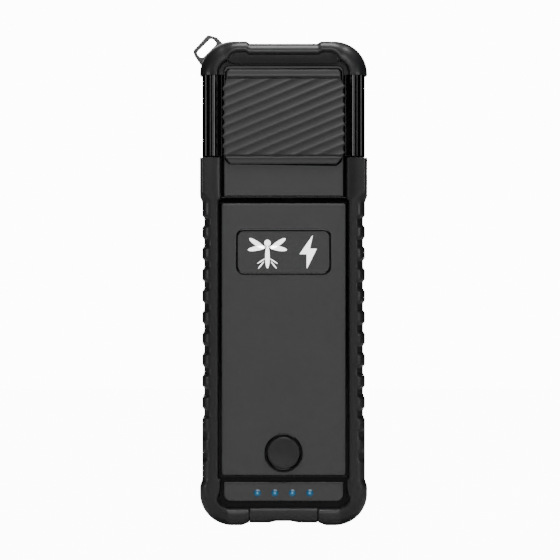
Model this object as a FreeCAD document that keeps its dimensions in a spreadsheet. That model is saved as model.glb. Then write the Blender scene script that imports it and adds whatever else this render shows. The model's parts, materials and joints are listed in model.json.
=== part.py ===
"""Pocket electric fly swatter: a rugged handle whose head slides up and draws a live net out of it.

Frame: X to the right, -Y to the front, +Z up, in millimetres. The origin is the centre of the base, and the
feet stand on z = 0. Layers from front to back: bumper crest, plates, front wall, electronics bay, mid
frame, net cavity, rear wall, bumper crest.
"""

import FreeCAD, Part
import math
import os

import Sketcher

DOC = FreeCAD.newDocument("pocket_fly_swatter")
SHEET = DOC.addObject("Spreadsheet::Sheet", "Dims")
SIZE_NAMES = []
PIECES = []
PLANE_OF_AXIS = {"x": "YZ_Plane", "y": "XZ_Plane", "z": "XY_Plane"}
OTHER_AXES = {"x": "yz", "y": "xz", "z": "xy"}
ALONG = {
    "x": FreeCAD.Rotation(FreeCAD.Vector(0, 1, 0), 90),
    "y": FreeCAD.Rotation(FreeCAD.Vector(1, 0, 0), -90),
    "z": FreeCAD.Rotation(),
}
OVERCUT = 1.0  # how far a cutting tool reaches past the face that it opens


class Size:
    """A length: its expression over the sheet's cells, and its number."""

    def __init__(self, text, value):
        self.text = text
        self.value = value

    def __add__(self, other):
        other = sized(other)
        return Size(f"({self.text} + {other.text})", self.value + other.value)

    def __sub__(self, other):
        other = sized(other)
        return Size(f"({self.text} - {other.text})", self.value - other.value)

    def __mul__(self, factor):
        factor = sized(factor)
        return Size(f"({self.text} * {factor.text})", self.value * factor.value)

    def __truediv__(self, divisor):
        divisor = sized(divisor)
        return Size(f"({self.text} / {divisor.text})", self.value / divisor.value)

    def __neg__(self):
        return self * -1.0

    def __radd__(self, other):
        return sized(other) + self

    def __rsub__(self, other):
        return sized(other) - self

    def __rmul__(self, other):
        return sized(other) * self


def sized(length):
    """A plain number as a Size; a Size as it is."""
    if isinstance(length, Size):
        return length
    return Size(f"({float(length)})", float(length))


def size(name, value):
    """Writes a driving dimension into the sheet and returns it."""
    SIZE_NAMES.append(name)
    row = len(SIZE_NAMES)
    SHEET.set(f"A{row}", name)
    SHEET.set(f"B{row}", str(value))
    SHEET.setAlias(f"B{row}", name)
    return Size(f"Dims.{name}", value)


def bind(item, prop, length):
    """Ties a property of an object to the sheet."""
    item.setExpression(prop, sized(length).text)


# ---- Overall sizes
body_width = size("body_width", 58.0)
body_depth = size("body_depth", 30.0)
handle_height = size("handle_height", 127.4)
head_height = size("head_height", 40.0)
head_gap = size("head_gap", 0.3)

# ---- Bumper and its outline
grip_relief = size("grip_relief", 0.8)
bumper_wall = size("bumper_wall", 2.0)
bumper_floor = size("bumper_floor", 3.0)
front_lip = size("front_lip", 3.0)
rear_lip = size("rear_lip", 1.8)
base_corner = size("base_corner", 11.0)
edge_round = size("edge_round", 3.4)
blend_round = size("blend_round", 5.0)
foot_length = size("foot_length", 3.1)
ramp_length = size("ramp_length", 3.1)
foot_height = size("foot_height", 0.9)
dip_height = size("dip_height", 0.74)
dip_half = size("dip_half", 2.2)
sleeve_height = size("sleeve_height", 13.1)
flare_height = size("flare_height", 2.8)
tongue_length = size("tongue_length", 13.5)
boot_height = size("boot_height", 13.2)
boot_taper = size("boot_taper", 3.2)
groove_pitch = size("groove_pitch", 7.37)
groove_mouth = size("groove_mouth", 4.35)
groove_floor = size("groove_floor", 2.4)
groove_depth = size("groove_depth", 0.68)
groove_start = size("groove_start", 38.95)
GROOVES = 10

# ---- Casing walls and the layers inside
shell_wall = size("shell_wall", 1.8)
shell_round = size("shell_round", 2.0)
frame_thickness = size("frame_thickness", 1.2)
running_gap = size("running_gap", 0.05)
join_depth = size("join_depth", 0.5)
glide_gap = size("glide_gap", 0.2)
moving_gap = size("moving_gap", 0.2)

# ---- Plates on the front
plate_inset = size("plate_inset", 7.5)
plate_thickness = size("plate_thickness", 1.2)
plate_gap = size("plate_gap", 0.15)
plate_bottom = size("plate_bottom", 17.4)
plate_corner = size("plate_corner", 0.8)
crossbar_height = size("crossbar_height", 2.4)
crossbar_relief = size("crossbar_relief", 1.4)
window_flare = size("window_flare", 1.35)
head_plate_inset = size("head_plate_inset", 8.35)
indicator_height = size("indicator_height", 6.6)
indicator_corner = size("indicator_corner", 2.4)
label_width = size("label_width", 33.1)
label_height = size("label_height", 15.9)
label_corner = size("label_corner", 2.9)
label_line = size("label_line", 0.8)
label_engraving = size("label_engraving", 0.3)
label_drop = size("label_drop", 16.75)
head_plate_corner = size("head_plate_corner", 2.0)

# ---- Power button and its switch
button_height = size("button_height", 25.06)
button_radius = size("button_radius", 5.55)
button_gap = size("button_gap", 0.08)
bezel_wall = size("bezel_wall", 1.0)
bezel_stand = size("bezel_stand", 0.5)
button_stand = size("button_stand", 0.9)
button_flange = size("button_flange", 0.8)
button_flange_reach = size("button_flange_reach", 0.9)
button_play = size("button_play", 0.1)
plunger_radius = size("plunger_radius", 1.6)
switch_width = size("switch_width", 6.2)
switch_depth = size("switch_depth", 2.6)
switch_floor = size("switch_floor", 0.4)
plunger_insertion = size("plunger_insertion", 0.6)
plunger_gap = size("plunger_gap", 0.1)

# ---- Electronics
board_thickness = size("board_thickness", 1.2)
board_standoff = size("board_standoff", 4.4)
board_bottom = size("board_bottom", 8.0)
board_top = size("board_top", 44.0)
board_margin = size("board_margin", 1.0)
lamp_pitch = size("lamp_pitch", 6.05)
lamp_radius = size("lamp_radius", 1.3)
lamp_height = size("lamp_height", 11.2)
lamp_body = size("lamp_body", 0.8)
pipe_stand = size("pipe_stand", 0.1)
pipe_gap = size("pipe_gap", 0.1)
LAMPS = 4
port_width = size("port_width", 9.0)
port_thickness = size("port_thickness", 3.2)
port_length = size("port_length", 6.4)
port_wall = size("port_wall", 0.3)
port_back_wall = size("port_back_wall", 1.2)
port_tongue_thickness = size("port_tongue_thickness", 0.7)
port_tongue_setback = size("port_tongue_setback", 0.8)
port_tongue_root = size("port_tongue_root", 1.0)
post_radius = size("post_radius", 2.4)
post_margin = size("post_margin", 3.0)
post_clearance = size("post_clearance", 3.0)
screw_radius = size("screw_radius", 0.9)
screw_head_radius = size("screw_head_radius", 1.9)
screw_head_height = size("screw_head_height", 1.1)
battery_bottom = size("battery_bottom", 50.5)
battery_clearance = size("battery_clearance", 7.2)
battery_gap = size("battery_gap", 0.3)
foam_thickness = size("foam_thickness", 1.6)
cable_thickness = size("cable_thickness", 0.4)
cable_width = size("cable_width", 6.0)
cable_joint = size("cable_joint", 3.6)
lead_radius = size("lead_radius", 0.55)
lead_bend = size("lead_bend", 2.2)
lead_gap = size("lead_gap", 0.4)
lead_root = size("lead_root", 8.0)
lead_rise = size("lead_rise", 2.4)
lead_overlap = size("lead_overlap", 5.0)
booster_height = size("booster_height", 14.0)
booster_standoff = size("booster_standoff", 2.4)
booster_gap = size("booster_gap", 0.4)
part_margin = size("part_margin", 1.0)
part_gap = size("part_gap", 0.3)
core_middle = size("core_middle", -12.0)
core_half = size("core_half", 7.0)
core_limb = size("core_limb", 2.0)
core_leg_half = size("core_leg_half", 1.6)
winding_gap = size("winding_gap", 0.2)
diode_radius = size("diode_radius", 0.9)
diode_length = size("diode_length", 4.0)
transistor_left = size("transistor_left", 11.0)
transistor_width = size("transistor_width", 6.0)
transistor_height = size("transistor_height", 5.0)
transistor_thickness = size("transistor_thickness", 2.4)
CAPACITOR_PLACES = (0.0, 6.0)
DIODE_PLACES = (11.0, 13.5, 16.0)
CHIPS = (  # each chip's name, its extent across and up the main board, and its thickness
    ("controller", (9.0, 15.0), (33.0, 39.0), 1.0),
    ("charger", (-14.0, -10.0), (20.0, 25.0), 0.9),
    ("charge_coil", (-16.0, -10.0), (31.0, 37.0), 2.6),
)

# ---- Sliding net
shelf_height = size("shelf_height", 15.0)
shelf_thickness = size("shelf_thickness", 2.0)
carriage_height = size("carriage_height", 6.0)
collar_height = size("collar_height", 6.0)
collar_drop = size("collar_drop", 1.0)
collar_wall = size("collar_wall", 1.35)
rail_width = size("rail_width", 3.2)
rail_inset = size("rail_inset", 0.9)
rail_clamp_length = size("rail_clamp_length", 15.0)
wire_radius = size("wire_radius", 0.35)
live_wire_radius = size("live_wire_radius", 0.5)
layer_share = size("layer_share", 0.3)
wire_pitch = size("wire_pitch", 3.3)
rung_pitch = size("rung_pitch", 6.4)
live_pitch = size("live_pitch", 5.2)
brush_across = size("brush_across", 12.0)
brush_leg_radius = size("brush_leg_radius", 0.6)
brush_thickness = size("brush_thickness", 0.3)
brush_drop = size("brush_drop", 3.4)
brush_leaf_half_width = size("brush_leaf_half_width", 1.8)
brush_leaf_half_height = size("brush_leaf_half_height", 2.0)
brush_tip_half_width = size("brush_tip_half_width", 1.2)
brush_tip_bottom = size("brush_tip_bottom", 1.8)
brush_tip_top = size("brush_tip_top", 0.4)
reed_gap = size("reed_gap", 0.2)
reed_half_length = size("reed_half_length", 7.0)
contact_half_width = size("contact_half_width", 2.0)
contact_stand = size("contact_stand", 0.1)
contact_depth = size("contact_depth", 0.6)
contact_foot = size("contact_foot", 0.6)
carriage_gap = size("carriage_gap", 0.1)
glide_thickness = size("glide_thickness", 1.0)
magnet_radius = size("magnet_radius", 2.0)
magnet_thickness = size("magnet_thickness", 2.0)
bar_gap = size("bar_gap", 1.5)
bar_height = size("bar_height", 4.0)
clamp_rise = size("clamp_rise", 6.0)

# ---- Head block
column_groove = size("column_groove", 1.5)
column_facet = size("column_facet", 2.6)
column_setback = size("column_setback", 0.9)
column_edge_run = size("column_edge_run", 1.4)
column_edge_drop = size("column_edge_drop", 0.9)
column_chamfer = size("column_chamfer", 1.1)
column_step = size("column_step", 1.0)
column_clearance = size("column_clearance", 0.85)
head_thickening = size("head_thickening", 1.2)
cap_skirt = size("cap_skirt", 11.6)
cap_corner = size("cap_corner", 11.3)
cap_wall = size("cap_wall", 3.0)
knuckle_rise = size("knuckle_rise", 0.8)
knuckle_inner = size("knuckle_inner", 12.7)
knuckle_slope = size("knuckle_slope", 1.0)
cap_lip_height = size("cap_lip_height", 8.5)
pad_inset = size("pad_inset", 9.2)
pad_bottom = size("pad_bottom", 2.6)
pad_top_drop = size("pad_top_drop", 9.7)
pad_base = size("pad_base", 0.5)
pad_bar = size("pad_bar", 2.8)
pad_bevel = size("pad_bevel", 1.5)
pad_wing = size("pad_wing", 1.6)
rib_pitch = size("rib_pitch", 3.06)
rib_width = size("rib_width", 1.3)
rib_height = size("rib_height", 0.6)
rib_angle = size("rib_angle", 22.5)
loop_thickness = size("loop_thickness", 2.8)
loop_slot_length = size("loop_slot_length", 7.6)
loop_slot_width = size("loop_slot_width", 3.1)
loop_slot_inset = size("loop_slot_inset", 2.2)
loop_slot_drop = size("loop_slot_drop", 2.0)
loop_reach = size("loop_reach", 2.55)
LOOP_CORNERS = (  # each corner of the lanyard plate, right of its outer end and up from the head's top
    (0.0, -3.0), (5.2, 2.7), (8.4, 1.7), (11.0, -1.0), (11.0, -8.0), (9.2, -9.4), (4.4, -10.2), (0.6, -4.8),
)
rivet_radius = size("rivet_radius", 1.0)
rivet_inset = size("rivet_inset", 4.4)
rivet_drop = size("rivet_drop", 5.0)
rivet_recess = size("rivet_recess", 1.2)

# ---- Charging port cover
cover_thickness = size("cover_thickness", 1.5)
cover_front_height = size("cover_front_height", 5.9)
cover_gap = size("cover_gap", 0.2)
cover_round = size("cover_round", 2.6)
cover_floor_rise = size("cover_floor_rise", 0.75)
hinge_setback = size("hinge_setback", 3.2)
hinge_height = size("hinge_height", 1.7)
barrel_radius = size("barrel_radius", 1.1)
pin_radius = size("pin_radius", 0.5)
pin_bearing = size("pin_bearing", 1.2)
plug_gap = size("plug_gap", 0.35)
plug_relief = size("plug_relief", 0.55)
plug_root = size("plug_root", 0.1)
plug_reach = size("plug_reach", 1.2)

# ---- Places that follow from the sizes
half = body_width / 2
front = -body_depth / 2
rear = body_depth / 2
grip_half = half - grip_relief
shell_half = grip_half - bumper_wall
shell_front = front + front_lip
shell_rear = rear - rear_lip
inner_half = shell_half - shell_wall
inner_front = shell_front + shell_wall
inner_rear = shell_rear - shell_wall
inner_bottom = bumper_floor + shell_wall
frame_half = frame_thickness / 2
plate_half = half - plate_inset
plate_face = shell_front - plate_thickness
sleeve_bottom = handle_height - sleeve_height
tongue_bottom = handle_height - tongue_length
plate_top = tongue_bottom - crossbar_height
head_plate_half = half - head_plate_inset
indicator_top = plate_bottom - crossbar_height
indicator_bottom = indicator_top - indicator_height
tongue_seat = shell_front + moving_gap
tongue_inner = tongue_seat + shell_wall
board_front = inner_front + board_standoff
board_rear = board_front + board_thickness
booster_rear = -frame_half - booster_standoff
booster_front = booster_rear - board_thickness
booster_top = handle_height - shell_wall - booster_gap
booster_bottom = booster_top - booster_height
post_across = inner_half - post_margin
lower_post = board_top + post_clearance
upper_post = booster_bottom - post_clearance
battery_half = inner_half - battery_clearance
battery_top = upper_post - post_clearance
lead_across = battery_half + lead_radius + lead_gap
rail_outer = inner_half - collar_wall - running_gap
net_half = rail_outer - rail_width
rail_front = frame_half + rail_inset
rail_rear = inner_rear - rail_inset
net_middle = (rail_front + rail_rear) / 2
layer_spacing = (rail_rear - rail_front) * layer_share
carriage_top = shelf_height + carriage_height
collar_top = handle_height - collar_drop
collar_bottom = collar_top - collar_height
travel = collar_bottom - carriage_top
head_bottom = handle_height + head_gap
head_top = head_bottom + head_height
cap_bottom = head_top - cap_skirt
cap_core_half = half - cap_wall
core_top = head_top - cap_wall
core_corner = cap_corner - cap_wall
head_plate_top = head_top - cap_lip_height
top_bar_bottom = head_bottom + shell_wall + bar_gap
top_bar_top = top_bar_bottom + bar_height
cover_half = half - base_corner - foot_length - ramp_length
hinge_depth = -hinge_setback
carriage_front = rail_front - carriage_gap
contact_face = carriage_front - contact_stand
shell_corner = base_corner - bumper_floor
inner_corner = shell_corner - shell_wall
bezel_radius = button_radius + button_gap + bezel_wall
battery_rear = -frame_half - cable_thickness - foam_thickness
brush_height = collar_bottom - brush_drop
button_back = inner_front + button_play
glide_inner = inner_half - glide_gap - glide_thickness


# ---- Ways of making solids
def block(name, x, y, z):
    """A block between a low and a high place on each axis."""
    item = DOC.addObject("Part::Box", name)
    for prop, axis, (low, high) in zip(("Length", "Width", "Height"), "xyz", (x, y, z)):
        bind(item, prop, sized(high) - low)
        bind(item, f"Placement.Base.{axis}", low)
    return item


def rod(name, axis, radius, start, end, across):
    """A cylinder along an axis; across is its centre on the other two axes, in order."""
    item = DOC.addObject("Part::Cylinder", name)
    item.Placement = FreeCAD.Placement(FreeCAD.Vector(), ALONG[axis])
    bind(item, "Radius", radius)
    bind(item, "Height", sized(end) - start)
    bind(item, f"Placement.Base.{axis}", start)
    for other, place in zip(OTHER_AXES[axis], across):
        bind(item, f"Placement.Base.{other}", place)
    return item


def prism(name, axis, outline, low, high):
    """A body padded along an axis from an outline, whose points are on the other two axes, in order."""
    body = DOC.addObject("PartDesign::Body", name)
    plane = next(p for p in body.Origin.OriginFeatures if p.Role == PLANE_OF_AXIS[axis])
    sketch = body.newObject("Sketcher::SketchObject", f"{name}_sketch")
    sketch.AttachmentSupport = [(plane, "")]
    sketch.MapMode = "FlatFace"
    start = -sized(high) if axis == "y" else sized(low)
    bind(sketch, "AttachmentOffset.Base.z", start)
    draw(sketch, [(sized(u), sized(v)) for u, v in outline])
    pad = body.newObject("PartDesign::Pad", f"{name}_pad")
    pad.Profile = sketch
    bind(pad, "Length", sized(high) - low)
    body.Tip = pad
    return body


def draw(sketch, outline):
    """Draws a closed outline of straight lines, each corner held by its two distances from the origin."""
    corners = [FreeCAD.Vector(u.value, v.value, 0) for u, v in outline]
    for start, end in zip(corners, corners[1:] + corners[:1]):
        sketch.addGeometry(Part.LineSegment(start, end), False)
    count = len(outline)
    for line in range(count):
        sketch.addConstraint(Sketcher.Constraint("Coincident", line, 2, (line + 1) % count, 1))
    for line, (u, v) in enumerate(outline):
        for kind, length in (("DistanceX", u), ("DistanceY", v)):
            number = sketch.addConstraint(Sketcher.Constraint(kind, -1, 1, line, 1, length.value))
            sketch.setExpression(f"Constraints[{number}]", length.text)


def both_sides(right):
    """An outline closed by the mirror image of its right half, which runs from bottom to top."""
    return right + [(-u, v) for u, v in reversed(right)]


def cut(name, base, *tools):
    """A solid less some others."""
    item = DOC.addObject("Part::Cut", name)
    item.Base = base
    item.Tool = tools[0] if len(tools) == 1 else fuse(f"{name}_tools", *tools)
    return item


def fuse(name, *solids):
    """Solids joined into one."""
    item = DOC.addObject("Part::MultiFuse", name)
    item.Shapes = list(solids)
    return item


def common(name, *solids):
    """What solids share."""
    item = DOC.addObject("Part::MultiCommon", name)
    item.Shapes = list(solids)
    return item


def group(name, *solids):
    """Separate solids of one kind kept together."""
    item = DOC.addObject("Part::Compound", name)
    item.Links = list(solids)
    return item


def mirrored(name, source):
    """The image of a solid on the other side of the middle plane."""
    item = DOC.addObject("Part::Mirroring", name)
    item.Source = source
    item.Normal = FreeCAD.Vector(1, 0, 0)
    return item


def rounded(body, radius, chosen):
    """Rounds the chosen edges of a body."""
    DOC.recompute()
    base = body.Tip
    edges = [f"Edge{n}" for n, edge in enumerate(base.Shape.Edges, 1) if chosen(edge)]
    fillet = body.newObject("PartDesign::Fillet", f"{body.Name}_round")
    fillet.Base = (base, edges)
    bind(fillet, "Radius", radius)
    body.Tip = fillet
    return body


def runs_along(edge, axis):
    """Whether an edge is straight and parallel to an axis."""
    ends = [vertex.Point for vertex in edge.Vertexes]
    if len(ends) != 2:
        return False
    gap = ends[1] - ends[0]
    straight = abs(edge.Length - gap.Length) < 1e-6
    return straight and abs(abs(gap["xyz".index(axis)]) - gap.Length) < 1e-6


def lies_at(edge, axis, place):
    """Whether the whole of an edge lies in a plane across an axis."""
    number = "xyz".index(axis)
    box = edge.BoundBox
    low = (box.XMin, box.YMin, box.ZMin)[number]
    high = (box.XMax, box.YMax, box.ZMax)[number]
    place = sized(place).value
    return abs(low - place) < 1e-4 and abs(high - place) < 1e-4


def keep(item, label):
    """Names a finished piece."""
    item.Label = label
    PIECES.append(item)
    return item


# ---- Handle: bumper and shells
def handle_core(name, side, bottom, corner, low, high, top):
    """A block with rounded bottom corners, as the shells and the space inside them have."""
    outline = both_sides([(side, bottom), (side, top)])
    body = prism(name, "y", outline, low, high)
    return rounded(body, corner, lambda e: runs_along(e, "y") and lies_at(e, "z", bottom))


def bumper_grooves():
    """Cross grooves of the grip, on both sides."""
    cuts = []
    bottom = grip_half - groove_depth
    for number in range(GROOVES):
        middle = groove_start + groove_pitch * number
        outline = [
            (bottom, middle - groove_floor / 2),
            (half + OVERCUT, middle - groove_mouth),
            (half + OVERCUT, middle + groove_mouth),
            (bottom, middle + groove_floor / 2),
        ]
        right = prism(f"groove_{number}", "y", outline, front - OVERCUT, rear + OVERCUT)
        cuts += [right, mirrored(f"groove_mirror_{number}", right)]
    return cuts


def window(name, width_half, bottom, top, low, high):
    """An opening in the front or rear face of a bumper."""
    return block(name, (-width_half, width_half), (low, high), (bottom, top))


def flared_recess(name, inner, bottom, top, inner_y, outer_y):
    """A shallow recess whose side walls lean outwards."""
    outline = [
        (-inner, inner_y),
        (-inner - window_flare, outer_y),
        (inner + window_flare, outer_y),
        (inner, inner_y),
    ]
    return prism(name, "z", outline, bottom, top)


def cover_space():
    """The notch in which the port cover lies and swings."""
    side = cover_half + cover_gap
    floor = block(
        "cover_notch_floor",
        (-side, side),
        (front - OVERCUT, hinge_depth + barrel_radius + cover_gap),
        (-OVERCUT, bumper_floor),
    )
    face = block(
        "cover_notch_face",
        (-side, side),
        (front - OVERCUT, front + cover_thickness + cover_gap),
        (-OVERCUT, cover_front_height + cover_gap),
    )
    return [floor, face]


def hinge_pin(name):
    """The port cover's steel hinge pin, or the hole that holds it."""
    reach = cover_half + cover_gap + pin_bearing
    return rod(name, "x", pin_radius, -reach, reach, (hinge_depth, hinge_height))


def handle_bumper():
    """The soft frame round the handle: flared boot, grooved grip and straight sleeve."""
    corner_start = half - base_corner
    outline = both_sides([
        (dip_half, foot_height + dip_height),
        (dip_half + ramp_length, foot_height),
        (corner_start - foot_length - ramp_length, foot_height),
        (corner_start - foot_length, 0),
        (half, 0),
        (half, boot_height),
        (grip_half, boot_height + boot_taper),
        (grip_half, sleeve_bottom - flare_height),
        (half, sleeve_bottom),
        (half, handle_height),
    ])
    body = prism("bumper_block", "y", outline, front, rear)
    rounded(body, base_corner, lambda e: runs_along(e, "y") and lies_at(e, "z", 0) and lies_side(e, half))
    rounded(body, blend_round, lambda e: runs_along(e, "y") and is_bend(e))
    rounded(body, edge_round, lambda e: on_face(e) and not lies_at(e, "z", handle_height))
    core = handle_core("core", shell_half, bumper_floor, shell_corner, shell_front, shell_rear,
                       handle_height + OVERCUT)
    side = plate_half + plate_gap
    tools = [
        core,
        flared_recess("front_recess", side, indicator_bottom - plate_gap, handle_height + OVERCUT,
                      front + crossbar_relief, front - OVERCUT),
        window("plate_window", side, plate_bottom - plate_gap, plate_top + plate_gap,
               front, shell_front + OVERCUT),
        window("indicator_window", head_plate_half + plate_gap, indicator_bottom - plate_gap,
               indicator_top + plate_gap, front, shell_front + OVERCUT),
        window("tongue_window", head_plate_half + plate_gap, tongue_bottom - plate_gap,
               handle_height + OVERCUT, front, shell_front + OVERCUT),
        flared_recess("rear_recess", side, plate_bottom, plate_top, shell_rear - OVERCUT, rear + OVERCUT),
        hinge_pin("pin_hole"),
    ]
    return keep(cut("bumper", body, *tools, *cover_space(), *bumper_grooves()), "handle_bumper")


def lies_side(edge, place):
    """Whether an edge lies at a place on either side of the middle plane."""
    return lies_at(edge, "x", place) or lies_at(edge, "x", -place)


def is_bend(edge):
    """Whether an edge across the bumper is one of its shallow bends."""
    place = edge.Vertexes[0].Point.z
    corner = abs(abs(edge.Vertexes[0].Point.x) - (half - base_corner).value) < 1e-4
    tangent = abs(place - base_corner.value) < 1e-4 or (place < 1e-4 and corner)
    return not tangent and abs(place - handle_height.value) > 1e-4


def on_face(edge):
    """Whether an edge lies in the front or the rear face."""
    return lies_at(edge, "y", front) or lies_at(edge, "y", rear)


def posts(name, radius, low, high):
    """Four cylinders at the shell's screws."""
    places = [(sign * post_across, height) for height in (lower_post, upper_post) for sign in (-1, 1)]
    return [rod(f"{name}_{n}", "y", radius, low, high, place) for n, place in enumerate(places)]


def lamp_places():
    """Where the lamps stand across the indicator plate."""
    return [lamp_pitch * (n - (LAMPS - 1) / 2) for n in range(LAMPS)]


def lamp_rods(name, start, end):
    """A cylinder from front to back at each lamp."""
    return [
        rod(f"{name}_{n}", "y", lamp_radius, start, end, (across, lamp_height))
        for n, across in enumerate(lamp_places())
    ]


def port_opening(name, room):
    """The space that the charging socket takes, with room round it."""
    side = port_width / 2 + room
    depth = (board_front - port_thickness - room, board_front + room)
    return block(name, (-side, side), depth, (bumper_floor - OVERCUT, bumper_floor + port_length + room))


def handle_front_shell():
    """The front casing: a tray with screw posts, set back where the head plate's tongue slides."""
    outside = handle_core("front_outside", shell_half, bumper_floor, shell_corner, shell_front, 0,
                          handle_height)
    rounded(outside, shell_round, lambda e: runs_along(e, "z") and lies_at(e, "y", shell_front))
    inside = handle_core("front_inside", inner_half, inner_bottom, inner_corner, inner_front, OVERCUT,
                         handle_height - shell_wall)
    seat = block("tongue_seat", (-head_plate_half - moving_gap, head_plate_half + moving_gap),
                 (tongue_seat, tongue_inner),
                 (tongue_bottom - moving_gap - shell_wall, handle_height))
    path = block("tongue_path", (-head_plate_half - moving_gap, head_plate_half + moving_gap),
                 (shell_front - OVERCUT, tongue_seat),
                 (tongue_bottom - moving_gap, handle_height + OVERCUT))
    tray = cut("front_tray", outside, inside)
    supports = posts("front_post", post_radius, inner_front - join_depth, -frame_half)
    walls = fuse("front_walls", tray, seat, *supports)
    lamps = lamp_rods("lamp_hole", shell_front - OVERCUT, inner_front + OVERCUT)
    holes = [
        path,
        rod("button_hole", "y", button_radius + button_gap, shell_front - OVERCUT, inner_front + OVERCUT,
            (0, button_height)),
        port_opening("port_hole_front", 0),
        *lamps,
        *posts("front_screw_hole", screw_radius, shell_front - OVERCUT, OVERCUT),
        *posts("front_head_hole", screw_head_radius, shell_front - OVERCUT,
               shell_front + screw_head_height),
    ]
    return keep(cut("front_shell", walls, *holes), "handle_front_shell")


def handle_rear_shell():
    """The rear casing: a tray open at the top, with the shelf that the carriage rests on."""
    outside = handle_core("rear_outside", shell_half, bumper_floor, shell_corner, 0, shell_rear,
                          handle_height)
    rounded(outside, shell_round, lambda e: runs_along(e, "z") and lies_at(e, "y", shell_rear))
    inside = handle_core("rear_inside", inner_half, inner_bottom, inner_corner, -OVERCUT, inner_rear,
                         handle_height + OVERCUT)
    shelf = block("shelf", (-inner_half, inner_half), (frame_half, inner_rear),
                  (shelf_height - shelf_thickness, shelf_height))
    tray = cut("rear_tray", outside, inside)
    return keep(fuse("rear_shell", tray, shelf), "handle_rear_shell")


def mid_frame():
    """The partition between the electronics and the sliding net."""
    plate = handle_core("frame_plate", inner_half, inner_bottom, inner_corner, -frame_half, frame_half,
                        handle_height - shell_wall)
    holes = posts("frame_screw_hole", screw_radius, -OVERCUT, OVERCUT)
    legs = [
        rod(f"brush_leg_hole_{n}", "y", brush_leg_radius, -OVERCUT, OVERCUT, (across, brush_height))
        for n, across in enumerate((-brush_across, brush_across))
    ]
    return keep(cut("frame", plate, *holes, *legs), "mid_frame")


def mouth_collar():
    """The slippery collar that guides the rails and stops the carriage."""
    ring = block("collar_block", (-inner_half, inner_half), (frame_half, inner_rear),
                 (collar_bottom, collar_top))
    way = block("collar_way", (-rail_outer - running_gap, rail_outer + running_gap),
                (rail_front - running_gap, rail_rear + running_gap),
                (collar_bottom - OVERCUT, collar_top + OVERCUT))
    return keep(cut("collar", ring, way), "mouth_collar")


def shell_screws():
    """Four pan-head screws under the front plate."""
    heads = posts("screw_head", screw_head_radius, shell_front, shell_front + screw_head_height)
    shanks = posts("screw_shank", screw_radius, shell_front + screw_head_height / 2, frame_half)
    screws = [fuse(f"shell_screw_{n}", *pair) for n, pair in enumerate(zip(heads, shanks))]
    return keep(group("shell_screw_set", *screws), "shell_screws")


# ---- Handle: plates, button and lamps
def ring_plate(name, width, height, corner, centre, low, high):
    """A rounded rectangle about a height on the middle plane."""
    outline = both_sides([(width / 2, centre - height / 2), (width / 2, centre + height / 2)])
    body = prism(name, "y", outline, low, high)
    return rounded(body, corner, lambda e: runs_along(e, "y"))


def front_plate():
    """The dark plate on the front, with the engraved outline of a label."""
    height = plate_top - plate_bottom
    plate = ring_plate("plate_block", plate_half * 2, height, plate_corner, plate_bottom + height / 2,
                       plate_face, shell_front)
    middle = plate_top - label_drop
    outer = ring_plate("label_outer", label_width, label_height, label_corner, middle,
                       plate_face - OVERCUT, plate_face + label_engraving)
    inner = ring_plate("label_inner", label_width - label_line * 2, label_height - label_line * 2,
                       label_corner - label_line, middle,
                       plate_face - 2 * OVERCUT, plate_face + 2 * OVERCUT)
    hole = rod("bezel_hole", "y", bezel_radius, front, shell_front + OVERCUT, (0, button_height))
    return keep(cut("plate", plate, cut("label_groove", outer, inner), hole), "front_plate")


def indicator_plate():
    """The small plate with the four charge lamps."""
    outline = both_sides([(head_plate_half, indicator_bottom), (head_plate_half, indicator_top)])
    body = prism("indicator_block", "y", outline, plate_face, shell_front)
    rounded(body, indicator_corner, lambda e: runs_along(e, "y") and lies_at(e, "z", indicator_bottom))
    holes = lamp_rods("indicator_hole", front, shell_front + OVERCUT)
    return keep(cut("indicator", body, *holes), "indicator_plate")


def light_pipes():
    """Clear pipes that carry each lamp's light to the plate."""
    pipes = lamp_rods("light_pipe", plate_face - pipe_stand, board_front - lamp_body - pipe_gap)
    return keep(group("light_pipe_set", *pipes), "light_pipes")


def indicator_lamps():
    """The four lamps soldered to the board."""
    lamps = [
        block(f"lamp_{n}", (across - lamp_body, across + lamp_body), (board_front - lamp_body, board_front),
              (lamp_height - lamp_body / 2, lamp_height + lamp_body / 2))
        for n, across in enumerate(lamp_places())
    ]
    return keep(group("lamp_set", *lamps), "indicator_lamps")


def button_bezel():
    """The ring that the power button stands in."""
    place = (0, button_height)
    outer = rod("bezel_outer", "y", bezel_radius, plate_face - bezel_stand, shell_front, place)
    inner = rod("bezel_inner", "y", button_radius + button_gap, front, shell_front + OVERCUT, place)
    return keep(cut("bezel", outer, inner), "button_bezel")


def power_button():
    """The round button, with a flange behind the wall that keeps it in."""
    place = (0, button_height)
    end = button_back + button_flange
    cap = rod("button_cap", "y", button_radius, plate_face - button_stand, end, place)
    flange = rod("button_flange", "y", button_radius + button_flange_reach, button_back, end, place)
    return keep(fuse("button", cap, flange), "power_button")


def switch_plunger():
    """The switch's stem, pushed by the button."""
    start = button_back + button_flange
    end = board_front - switch_depth + plunger_insertion
    return keep(rod("plunger", "y", plunger_radius, start, end, (0, button_height)), "switch_plunger")


def switch_body():
    """The push switch on the board."""
    side = switch_width / 2
    case = block("switch_case", (-side, side), (board_front - switch_depth, board_front),
                 (button_height - side, button_height + side))
    bore = rod("switch_bore", "y", plunger_radius + plunger_gap, board_front - switch_depth - OVERCUT,
               board_front - switch_floor, (0, button_height))
    return keep(cut("switch", case, bore), "switch_body")


# ---- Handle: electronics
def main_board():
    """The charging and control board."""
    side = inner_half - board_margin
    board = block("board", (-side, side), (board_front, board_rear), (board_bottom, board_top))
    return keep(board, "main_board")


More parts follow.
